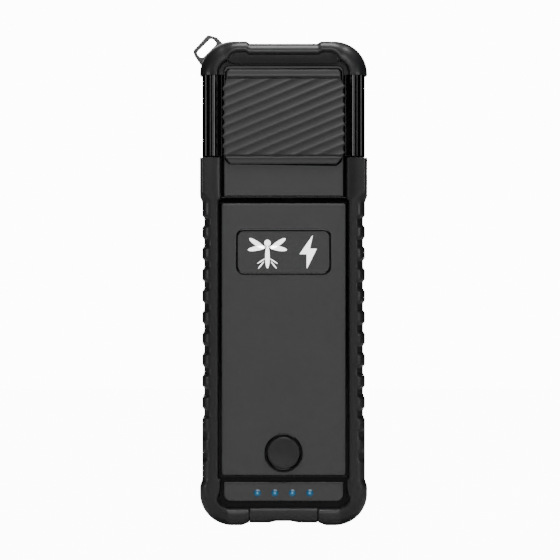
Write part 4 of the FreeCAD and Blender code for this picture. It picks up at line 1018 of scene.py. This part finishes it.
@dataclass
class FrontPlates(Maker):
    """The main plate with its label frame, the lamp plate and the head plate."""

    edge: float = 0.35
    label_width: float = 33.1
    label_height: float = 15.9
    label_drop: float = 16.75
    label_corner: float = 2.9
    label_line: float = 0.8

    def build(self) -> None:
        """Makes the three plates and the label."""
        low, high = box_mm("front_plate")
        bezel_low, bezel_high = box_mm("button_bezel")
        centre = (0.0, (bezel_low[2] + bezel_high[2]) / 2)
        outline = rectangle(high[0], (low[2], high[2]), 0.8, 24)
        directions = outline - np.array(centre)
        hole = circle(centre, bezel_high[0] + 0.02, np.arctan2(directions[:, 1], directions[:, 0]))
        surface = holed_slab(outline, hole, low[1], high[1], self.edge)
        self.piece(Skin().ring(surface), "front_plate_skin", Part.HANDLE, "plate_graphite", "front_plate")
        self.plain("indicator_plate", Part.HANDLE, 2.4, 0.3)
        self.plain("head_plate", Part.HEAD, 0.3, 2.0)
        self.label(high[2] - self.label_drop, low[1])

    def plain(self, node: str, part: Part, lower: float, upper: float) -> None:
        """A plate without a hole in the place of a node, with the radii of its lower and upper corners."""
        low, high = box_mm(node)
        surface = slab(rectangle(high[0], (low[2], high[2]), lower, upper=upper), low[1], high[1], self.edge)
        self.piece(Skin().capped(surface), f"{node}_skin", part, "plate_graphite", node)

    def label(self, middle: float, face: float) -> None:
        """The black line round the label and the plain marks in it: an insect and a flash."""
        width, height = self.label_width / 2, self.label_height / 2
        outline = rectangle(width, (middle - height, middle + height), self.label_corner, 16)
        inner = inset(outline, self.label_line)
        rings = [(outline, face + 0.2), (outline, face - 0.04), (inset(outline, 0.08), face - 0.09),
                 (inset(outline, self.label_line - 0.08), face - 0.09), (inner, face - 0.04), (inner, face + 0.2)]
        self.piece(Skin().ring(rings_to_surface(rings)), "label_line", Part.HANDLE, "button_ring")
        skin = Skin()
        for mark in (*self.insect(-5.6, middle - 0.3), self.flash(8.4, middle)):
            rings = [(mark, face + 0.1), (mark, face - 0.03), (inset(mark, 0.03), face - 0.06)]
            skin.capped(rings_to_surface(rings))
        # The marks' white ink glows: painted light from its finish.
        self.piece(skin, "label_marks", Part.HANDLE, "mark_white")

    @staticmethod
    def ellipse(x: float, z: float, along: float, across: float, tilt: float) -> Array:
        """An ellipse about a point, turned by a tilt in degrees."""
        angle = np.linspace(0, 2 * np.pi, 40, endpoint=False)
        c, s = math.cos(math.radians(tilt)), math.sin(math.radians(tilt))
        u, v = along * np.cos(angle), across * np.sin(angle)
        return np.column_stack([x + u * c - v * s, z + u * s + v * c])

    def insect(self, x: float, z: float) -> list[Array]:
        """A plain flying insect seen from above: head, body, two pairs of wings and two of legs."""
        shapes = [self.ellipse(x, z - 1.5, 3.9, 0.8, 90), self.ellipse(x, z + 3.4, 1.1, 1.1, 0)]
        wings, legs = [(s, k) for s in (-1, 1) for k in (0, 1)], [(s, k) for s in (-1, 1) for k in (0.6, 1.4)]
        shapes += [self.ellipse(x + s * 3.7, z + 3.2 - 1.7 * k, 3.1, 0.8, s * (34 - 44 * k)) for s, k in wings]
        shapes += [self.ellipse(x + s * 2.2, z - 1.9 - 1.7 * k, 1.6, 0.2, -s * (20 + 22 * k)) for s, k in legs]
        return shapes

    @staticmethod
    def flash(x: float, z: float) -> Array:
        """A plain lightning flash."""
        return rounded_outline([(x - 0.4, z - 6.0, 0.1), (x + 3.1, z + 1.1, 0.1), (x + 0.7, z + 1.1, 0.1),
                                (x + 1.8, z + 6.0, 0.1), (x - 2.9, z - 0.8, 0.1), (x - 0.4, z - 0.8, 0.1)], 4)


@dataclass
class PowerButton(Maker):
    """The round button with its dished face, and the polished ring round it."""

    dish: float = 0.15
    edge: float = 0.4

    def build(self) -> None:
        """Makes the button and its ring."""
        low, high = box_mm("power_button")
        ring_low, ring_high = box_mm("button_bezel")
        centre = (0.0, (ring_low[2] + ring_high[2]) / 2)
        radius = ring_high[0] - 1.08
        share = np.linspace(0.0, 1.0, 14)
        dished = np.column_stack([share * (radius - self.edge), low[1] + self.dish * (1 - share**2) ** 1.5])
        rim = [(radius - across, low[1] + down) for down, across in quarter(self.edge, 7)[1:]]
        flange = [(radius, high[1] - 0.8), (high[0], high[1] - 0.8), (high[0], high[1]), (0.0, high[1])]
        button = Skin().grid(lathe(np.concatenate([dished, rim, flange]), centre), around=True)
        self.piece(button, "power_button_skin", Part.BUTTON, "button_rubber", "power_button")
        inner, outer, face = radius + 0.08, ring_high[0], ring_low[1]
        turn = np.radians(np.linspace(0, 180, 13))
        middle, half = (inner + outer) / 2, (outer - inner) / 2
        top = np.column_stack([middle - half * np.cos(turn), face + 0.12 * (1 - np.sin(turn) ** 0.3)])
        section = np.concatenate([[[inner, ring_high[1]]], top, [[outer, ring_high[1]]]])
        ring = Skin().ring(lathe(section, centre, 96))
        self.piece(ring, "button_ring_skin", Part.HANDLE, "button_ring", "button_bezel")


@dataclass
class ChargeLamps(Maker):
    """The four lenses in the lamp plate, each a shallow dome."""

    count: int = 4
    dome: float = 0.16

    def build(self) -> None:
        """Makes the lenses."""
        low, high = box_mm("light_pipes")
        face = box_mm("indicator_plate")[0][1]
        radius = (high[2] - low[2]) / 2
        pitch = (high[0] - low[0] - 2 * radius) / (self.count - 1)
        height = (low[2] + high[2]) / 2
        lenses = Skin()
        share = np.linspace(0, 1, 8)
        profile = np.concatenate([np.column_stack([share * radius, face - 0.02 - self.dome * (1 - share**2)]),
                                  [[radius, high[1]], [0.0, high[1]]]])
        for number in range(self.count):
            centre = ((number - (self.count - 1) / 2) * pitch, height)
            lenses.grid(lathe(profile, centre, 40), around=True)
        self.piece(lenses, "charge_lenses", Part.HANDLE, "lamp_lens", "light_pipes")


@dataclass
class PortCover(Maker):
    """The soft flap over the charging socket: an L that wraps the boot's front edge, with a rolled hinge."""

    thick: float = 1.6
    end: float = 0.35

    def build(self) -> None:
        """Makes the flap."""
        low, high = box_mm("port_cover")
        barrel = 2.2
        floor = low[2] + 0.3
        inner = (low[1] + self.thick, floor + self.thick)
        corners = [(low[1], high[2], 0.7), (low[1], floor, 2.6), (high[1] - barrel, floor, 0.5),
                   (high[1] - 1.3, low[2], 0.8), (high[1], low[2], 1.05), (high[1], low[2] + barrel, 1.05),
                   (high[1] - barrel, inner[1], 0.4), (*inner, 0.4), (inner[0], high[2], 0.5)]
        profile = rounded_outline(corners, 7)
        ends = quarter(self.end)
        across = np.linspace(low[0] + self.end, high[0] - self.end, 41)[1:-1]
        places = [(low[0] + out, pull) for out, pull in ends] + [(x, 0.0) for x in across]
        places += [(high[0] - out, pull) for out, pull in ends[::-1]]
        rings = []
        for x, pull in places:
            ring = inset(profile, pull)
            dome = 0.54 * (1 - smooth_step(np.array([abs(x)]), 2.2, 3.1)[0]) * (ring[:, 1] < floor + 0.8)
            rings.append(np.column_stack([np.full(len(ring), x), ring[:, 0], ring[:, 1] + dome]))
        flap = Skin().capped(np.stack(rings))
        self.piece(flap, "port_cover_flap", Part.COVER, "cover_rubber", "port_cover")


@dataclass
class HeadColumns(Maker):
    """The head's front casing: a glossy column at each side, with a bead along it, and the plate's seat."""

    seat: float = 21.5
    wall: float = 1.8

    def build(self) -> None:
        """Makes the casing as one section drawn upwards."""
        low, high = box_mm("head_front_shell")
        cap = box_mm("cap_bumper")[0][2]
        face = box_mm("handle_front_shell")[0][1]
        side, crest, seat = high[0], low[1], self.seat
        inner = side - 2.0 * self.wall
        half = [(seat, face, 0.1), (seat, face + 0.8, 0.1), (seat + 1.7, face + 0.8, 0.3),
                (seat + 2.2, crest + 0.35, 0.5), (seat + 2.9, crest, 0.45), (seat + 3.6, crest + 0.5, 0.5),
                (seat + 3.9, face + 0.2, 0.4), (side - 1.9, face + 0.1, 0.5), (side - 1.2, face + 0.12, 1.0),
                (side, face + 1.7, 1.2), (side, 0.0, 0.05), (inner, 0.0, 0.05), (inner, face + 3.0, 1.0)]
        outline = rounded_outline([*half, *((-x, y, r) for x, y, r in half[::-1])], 8)
        rings = []
        foot = low[2]
        levels = ((foot, 0.25), (foot + 0.07, 0.1), (foot + 0.25, 0), (foot + 0.4, 0), (cap, 0), (cap + 1.2, 0))
        for z, pull in levels:
            ring = inset(outline, pull)
            rings.append(np.column_stack([ring, np.full(len(ring), z)]))
        casing = Skin().capped(np.stack(rings))
        self.piece(casing, "head_front_casing", Part.HEAD, "casing_gloss", "head_front_shell", sharp=40.0)


@dataclass
class GripPad(Maker):
    """The ribbed thumb pad: slanting ribs between two smooth bars, with toothed sides."""

    pitch: float = 3.06
    slant: float = 22.5
    bar: float = 2.7
    # Width of the black lip round the pad, which is painted shade for the groove at its edge.
    rim: float = 0.6

    def half_width(self, z: Array) -> Array:
        """Half width at a height: chamfered bars, then a flare out to the ribs' ends."""
        places = [self.low[2], self.low[2] + 1.2, self.low[2] + 2.5, self.low[2] + 4.0,
                  self.high[2] - 5.6, self.high[2] - 3.4, self.high[2] - 0.9, self.high[2]]
        return np.interp(z, places, [18.3, 19.5, 20.4, 21.0, 21.0, 19.9, 19.75, 18.9])

    def rib(self, x: Array, z: Array) -> Array:
        """Height of the ribs from nought to one: each is a rounded ridge, cos^2 of its place sharpened."""
        slant = math.radians(self.slant)
        phase = (z * math.cos(slant) - x * math.sin(slant)) / self.pitch
        return (0.5 + 0.5 * np.cos(2 * np.pi * (phase - 0.32))) ** 2.2

    def build(self) -> None:
        """Makes the pad, and a thin black lip round it that stands in as painted shade for the groove between the
        pad and the plate.
        """
        self.low, self.high = box_mm("grip_pad")
        z = np.linspace(self.low[2] + 0.02, self.high[2] - 0.02, 190)
        half = self.half_width(z)
        teeth = smooth_step(z, self.low[2] + 3.0, 1.0) * (1 - smooth_step(z, self.high[2] - 5.0, 1.0))
        edge = [np.minimum(half + teeth * 0.55 * (self.rib(side * half, z) - 0.55), self.high[0] - 0.02)
                for side in (-1, 1)]
        share = np.linspace(0, 1, 230)[None, :]
        x = -edge[0][:, None] * (1 - share) + edge[1][:, None] * share
        height = self.relief(x, z[:, None])
        fall = np.minimum(x + edge[0][:, None], edge[1][:, None] - x)
        fall = np.minimum(fall, np.minimum(z - self.low[2], self.high[2] - z)[:, None])
        height *= np.sqrt(1 - (1 - np.clip(fall / 0.5, 0, 1)) ** 2)
        y = self.high[1] - 0.02 - height
        top = np.stack([x, y, np.broadcast_to(z[:, None], x.shape)], -1)
        back = top.copy()
        back[..., 1] = self.high[1]
        front, loop = (np.concatenate([g[0], g[1:, -1], g[-1, -2::-1], g[-2:0:-1, 0]]) for g in (top, back))
        pad = Skin().grid(top).grid(np.stack([front, loop]), around=True).cap(loop)
        self.piece(pad, "grip_pad_skin", Part.HEAD, "pad_rubber", "grip_pad", sharp=50.0)
        # Painted shade: a thin black lip round the pad draws the groove's shadow at the pad's edge.
        slim = np.concatenate([np.column_stack([half, z]), np.column_stack([-half, z])[::-1]])[::4]
        grown = np.clip(inset(slim, -self.rim), (-20.4, 0.0), (20.4, 1e3))
        slim = np.clip(slim, (-20.4, 0.0), (20.4, 1e3))
        surface = rings_to_surface([(slim, self.high[1] + 0.1), (grown, self.high[1] + 0.1),
                                    (grown, self.high[1] - 0.06), (slim, self.high[1] - 0.06)])
        self.piece(Skin().capped(surface), "grip_pad_shadow_lip", Part.HEAD, "button_ring")

    def relief(self, x: Array, z: Array) -> Array:
        """Height of the pad above the plate: bars, grooves beside them and ribs between."""
        full = self.high[1] - self.low[1] - 0.04
        upper, lower = self.high[2] - self.bar - z, z - self.low[2] - self.bar
        inner = np.minimum(upper, lower)
        ribs = 0.62 + (full - 0.62) * self.rib(x, z)
        bars = full * 0.86 + 0.14 * full * (1 - smooth_step(np.abs(inner + 0.45), 0.15, 0.3))
        groove = 1 - 0.75 * (1 - smooth_step(np.abs(inner - 0.25), 0.1, 0.3))
        return np.where(inner > 0, ribs, bars) * groove


def about(outline: Array, centre: tuple[float, float], angles: Array) -> Array:
    """An outline that a centre sees whole, sampled at even angles round that centre."""
    away = outline - np.array(centre)
    bearing = np.arctan2(away[:, 1], away[:, 0])
    order = np.argsort(bearing)
    x = np.interp(angles, bearing[order], outline[order, 0], period=2 * np.pi)
    z = np.interp(angles, bearing[order], outline[order, 1], period=2 * np.pi)
    return np.column_stack([x, z])


@dataclass
class StrapLoop(Maker):
    """The fixed loop at the cap's left shoulder, a bevelled tab with a slanting slot."""

    edge: float = 0.2
    slot_length: float = 7.6
    slot_width: float = 2.9

    def build(self) -> None:
        """Makes the loop."""
        low, high = box_mm("lanyard_loop")
        left, top = low[0], high[2]
        corners = [(0.0, -5.7, 1.0), (0.6, -7.5, 0.8), (4.4, -12.9, 0.8), (9.2, -12.1, 0.8), (11.0, -10.7, 0.8),
                   (11.0, -3.7, 0.8), (8.4, -1.0, 0.6), (5.2, 0.0, 1.2)]
        outline = rounded_outline([(left + x, top + z, r) for x, z, r in corners], 12)
        centre = (left + 4.75, top - 4.7)
        turn = np.linspace(-np.pi, np.pi, 200, endpoint=False)
        slot = rectangle(self.slot_length / 2, (-self.slot_width / 2, self.slot_width / 2), 1.0, 10)
        slant = math.sqrt(0.5)
        slot = slot @ np.array([[slant, slant], [-slant, slant]]) + np.array(centre)
        outer, hole = (about(self.dense(shape), centre, turn) for shape in (outline, slot))
        side = self.side(high[1])
        rings = [(inset(outer, pull), y) for pull, y in side]
        rings += [(inset(hole, -pull), y) for pull, y in side[::-1]]
        loop = Skin().ring(rings_to_surface(rings))
        self.piece(loop, "strap_loop_skin", Part.HEAD, "loop_graphite", "lanyard_loop")
        pin_low, pin_high = box_mm("lanyard_rivet")
        radius = (pin_high[0] - pin_low[0]) / 2
        front = [(0.0, -11.6), (radius - 0.2, -11.6), (radius, -11.4)]
        pin = np.array(front + [(reach, -y) for reach, y in front[::-1]])
        middle = ((pin_low[0] + pin_high[0]) / 2, (pin_low[2] + pin_high[2]) / 2)
        rivet = Skin().grid(lathe(pin, middle, 32), around=True)
        self.piece(rivet, "strap_rivet", Part.HEAD, "steel_bright", "lanyard_rivet")

    @staticmethod
    def dense(shape: Array) -> Array:
        """An outline with many points on each of its sides."""
        share = np.linspace(0, 1, 12, endpoint=False)[None, :, None]
        return (shape[:, None] * (1 - share) + np.roll(shape, -1, 0)[:, None] * share).reshape(-1, 2)

    def side(self, half: float) -> list[tuple[float, float]]:
        """Pulls and depths from the rear edge to the front edge, both rounded."""
        bend = quarter(self.edge, 7)
        return [(far, half - near) for near, far in bend] + [(near, far - half) for near, far in bend]


@dataclass
class HeadNets(Maker):
    """The two earthed guard nets of crimped wire and the straight live wires between them."""

    wire: float = 0.35
    live: float = 0.5
    pitch: float = 3.3
    live_pitch: float = 5.2
    rungs: int = 17
    crimp: float = 0.12

    def build(self) -> None:
        """Makes both nets and the live wires."""
        for node, side in (("guard_net_front", -1), ("guard_net_rear", 1)):
            low, high = box_mm(node)
            inner = (high[1] if side < 0 else low[1]) + side * self.wire
            self.net(node, inner, side, low, high)
        low, high = box_mm("live_wires")
        across = self.spread(high[0], self.live_pitch)
        z = np.linspace(low[2], high[2], 3)
        depth = (low[1] + high[1]) / 2
        paths = np.stack([np.stack([np.full(3, x), np.full(3, depth), z], -1) for x in across])
        self.piece(self.wires(paths, self.live), "live_wire_rods", Part.HEAD, "steel_bright", "live_wires")

    def net(self, node: str, depth: float, side: int, low: Array, high: Array) -> None:
        """One net: uprights that bend round the rungs, and the rungs outside them."""
        z = np.linspace(low[2], high[2], self.rungs * 8 + 1)
        length = (high[2] - low[2]) / self.rungs
        bend = self.crimp * np.cos(2 * np.pi * (z - low[2]) / length)
        uprights = [np.stack([np.full(len(z), x), depth + side * bend * (-1) ** n, z], -1)
                    for n, x in enumerate(self.spread(high[0], self.pitch))]
        x = np.linspace(low[0], high[0], 3)
        levels = low[2] + length * (np.arange(self.rungs) + 0.5)
        outside = depth + side * self.wire * 2
        rungs = [np.stack([x, np.full(3, outside), np.full(3, level)], -1) for level in levels]
        skin = self.wires(np.stack(uprights), self.wire)
        self.wires(np.stack(rungs), self.wire, skin)
        self.piece(skin, f"{node}_wires", Part.HEAD, "net_steel", node, sharp=60.0)

    @staticmethod
    def spread(reach: float, pitch: float) -> Array:
        """Evenly spaced places about the middle plane, within a reach."""
        count = int(2 * reach // pitch)
        return pitch * (np.arange(count) - (count - 1) / 2)

    @staticmethod
    def wires(paths: Array, radius: float, skin: Skin | None = None) -> Skin:
        """Adds round wires to a skin."""
        skin = skin or Skin()
        for tube in tubes(paths, radius):
            skin.capped(tube)
        return skin


@dataclass
class RailScrews(Maker):
    """The two countersunk screws in the head's rear, with six-sided sockets."""

    head: float = 1.45
    socket: float = 0.7

    def build(self) -> None:
        """Makes both screws."""
        low, high = box_mm("rail_screws")
        radius = (high[2] - low[2]) / 2
        face = high[1] + 0.12
        angle = np.linspace(0, 2 * np.pi, 48, endpoint=False)
        six = math.cos(math.pi / 6) / np.cos((angle % (np.pi / 3)) - np.pi / 6)
        skin = Skin()
        for side in (-1, 1):
            centre = (side * (high[0] - radius), (low[2] + high[2]) / 2)
            sections = [(0.0, face - 0.7, False), (self.socket, face - 0.6, True),
                        (self.socket, face - 0.02, True), (self.socket * 1.1, face, True),
                        (self.head - 0.2, face, False), (self.head, face - 0.12, False),
                        (radius, face - 0.9, False), (radius, low[1], False), (0.0, low[1], False)]
            rings = [(circle(centre, reach * six if cut else reach, angle), y) for reach, y, cut in sections]
            skin.grid(rings_to_surface(rings), around=True)
        self.piece(skin, "rail_screw_heads", Part.HEAD, "steel_bright", "rail_screws")


# ---------------------------------------------------------------- stage

WHITE = 13.0  # strength at which an emission shows as white paper
LAMPS = (  # name, place, width and height in metres, power in watts
    ("key", (0.15, -2.5, 1.02), (1.1, 0.8), 16.8),
    ("right", (1.5, -1.6, 0.2), (0.9, 0.2), 4.6),
    ("left", (-1.7, -1.2, 0.2), (0.9, 0.2), 4.4),
    ("top", (0.02, -0.05, 0.36), (0.2, 0.12), 0.68),
    ("rear", (-0.3, 1.5, 0.9), (1.0, 1.0), 8.0),
)


@dataclass
class Studio:
    """A plain pale floor, a white surround, soft lamps and the camera."""

    distance: float = 2.4
    aim: tuple[float, float] = (-0.00125, 0.0850)
    width_seen: float = 0.1949
    face: float = -0.002

    def build(self) -> None:
        """Makes the stage."""
        self.floor()
        self.surround()
        for name, place, size, power in LAMPS:
            self.lamp(name, place, size, power)
        self.camera()

    def floor(self) -> None:
        """A wide disc of pale paper that looks white to the camera."""
        angle = np.linspace(0, 2 * np.pi, 96, endpoint=False)
        mesh = bpy.data.meshes.new("floor")
        mesh.from_pydata([(3 * math.cos(a), 3 * math.sin(a), -0.0002) for a in angle], [], [list(range(96))])
        item = bpy.data.objects.new("floor", mesh)
        bpy.context.scene.collection.objects.link(item)
        g = Graph("floor_paper")
        grain = g.noise(2.0, 3.0)
        g.set(Base_Color=g.mix(grain, (0.78, 0.78, 0.78), (0.84, 0.84, 0.84)), Roughness=grain * 0.1 + 0.8)
        seen = g.add("ShaderNodeLightPath", output="Is Camera Ray") * 0.93
        glow = g.add("ShaderNodeEmission", None, {"Color": (1.0, 1.0, 1.0), "Strength": WHITE})
        paper = Signal(g, g.shader.outputs[0])
        blend = g.add("ShaderNodeMixShader", None, {0: seen, 1: paper, 2: glow})
        g.tree.links.new(blend.socket, g.tree.nodes["Material Output"].inputs["Surface"])
        mesh.materials.append(g.material)

    @staticmethod
    def surround() -> None:
        """White to the camera, nearly dark as a light."""
        world = bpy.data.worlds.new("surround")
        bpy.context.scene.world = world
        world.use_nodes = True
        tree = world.node_tree
        path = tree.nodes.new("ShaderNodeLightPath")
        strength = tree.nodes.new("ShaderNodeMapRange")
        strength.inputs["To Min"].default_value = 0.02
        strength.inputs["To Max"].default_value = WHITE
        tree.links.new(path.outputs["Is Camera Ray"], strength.inputs["Value"])
        back = tree.nodes["Background"]
        back.inputs["Color"].default_value = (1.0, 1.0, 1.0, 1.0)
        tree.links.new(strength.outputs[0], back.inputs["Strength"])

    @staticmethod
    def lamp(name: str, place: tuple[float, float, float], size: tuple[float, float], power: float) -> None:
        """An area lamp that points at the object's middle and isn't seen itself."""
        data = bpy.data.lights.new(name, "AREA")
        data.shape = "RECTANGLE"
        data.size, data.size_y = size
        data.energy = power
        item = bpy.data.objects.new(name, data)
        item.location = place
        item.rotation_euler = (Vector((0.0, 0.0, 0.085)) - Vector(place)).to_track_quat("-Z", "Y").to_euler()
        item.visible_camera = False
        bpy.context.scene.collection.objects.link(item)

    def camera(self) -> None:
        """A long lens straight in front, at the height of the object's middle."""
        data = bpy.data.cameras.new("camera")
        data.sensor_width = 36.0
        data.lens = 36.0 * (self.distance + self.face) / self.width_seen
        item = bpy.data.objects.new("camera", data)
        item.location = (self.aim[0], -self.distance, self.aim[1])
        item.rotation_euler = (math.pi / 2, 0.0, 0.0)
        bpy.context.scene.collection.objects.link(item)
        bpy.context.scene.camera = item


# ---------------------------------------------------------------- the whole


def main() -> None:
    """Dresses the frame, builds each piece's visible skin and sets the stage."""
    logging.basicConfig(level=logging.INFO, format="%(name)s: %(message)s")
    finishes = Finishes()
    finishes.dress_frame()
    for maker in (HandleBumper, CapBumper, FrontPlates, PowerButton, ChargeLamps, PortCover, HeadColumns,
                  GripPad, StrapLoop, HeadNets, RailScrews):
        maker(finishes).build()
    Studio().build()


if __name__ == "__main__":
    main()
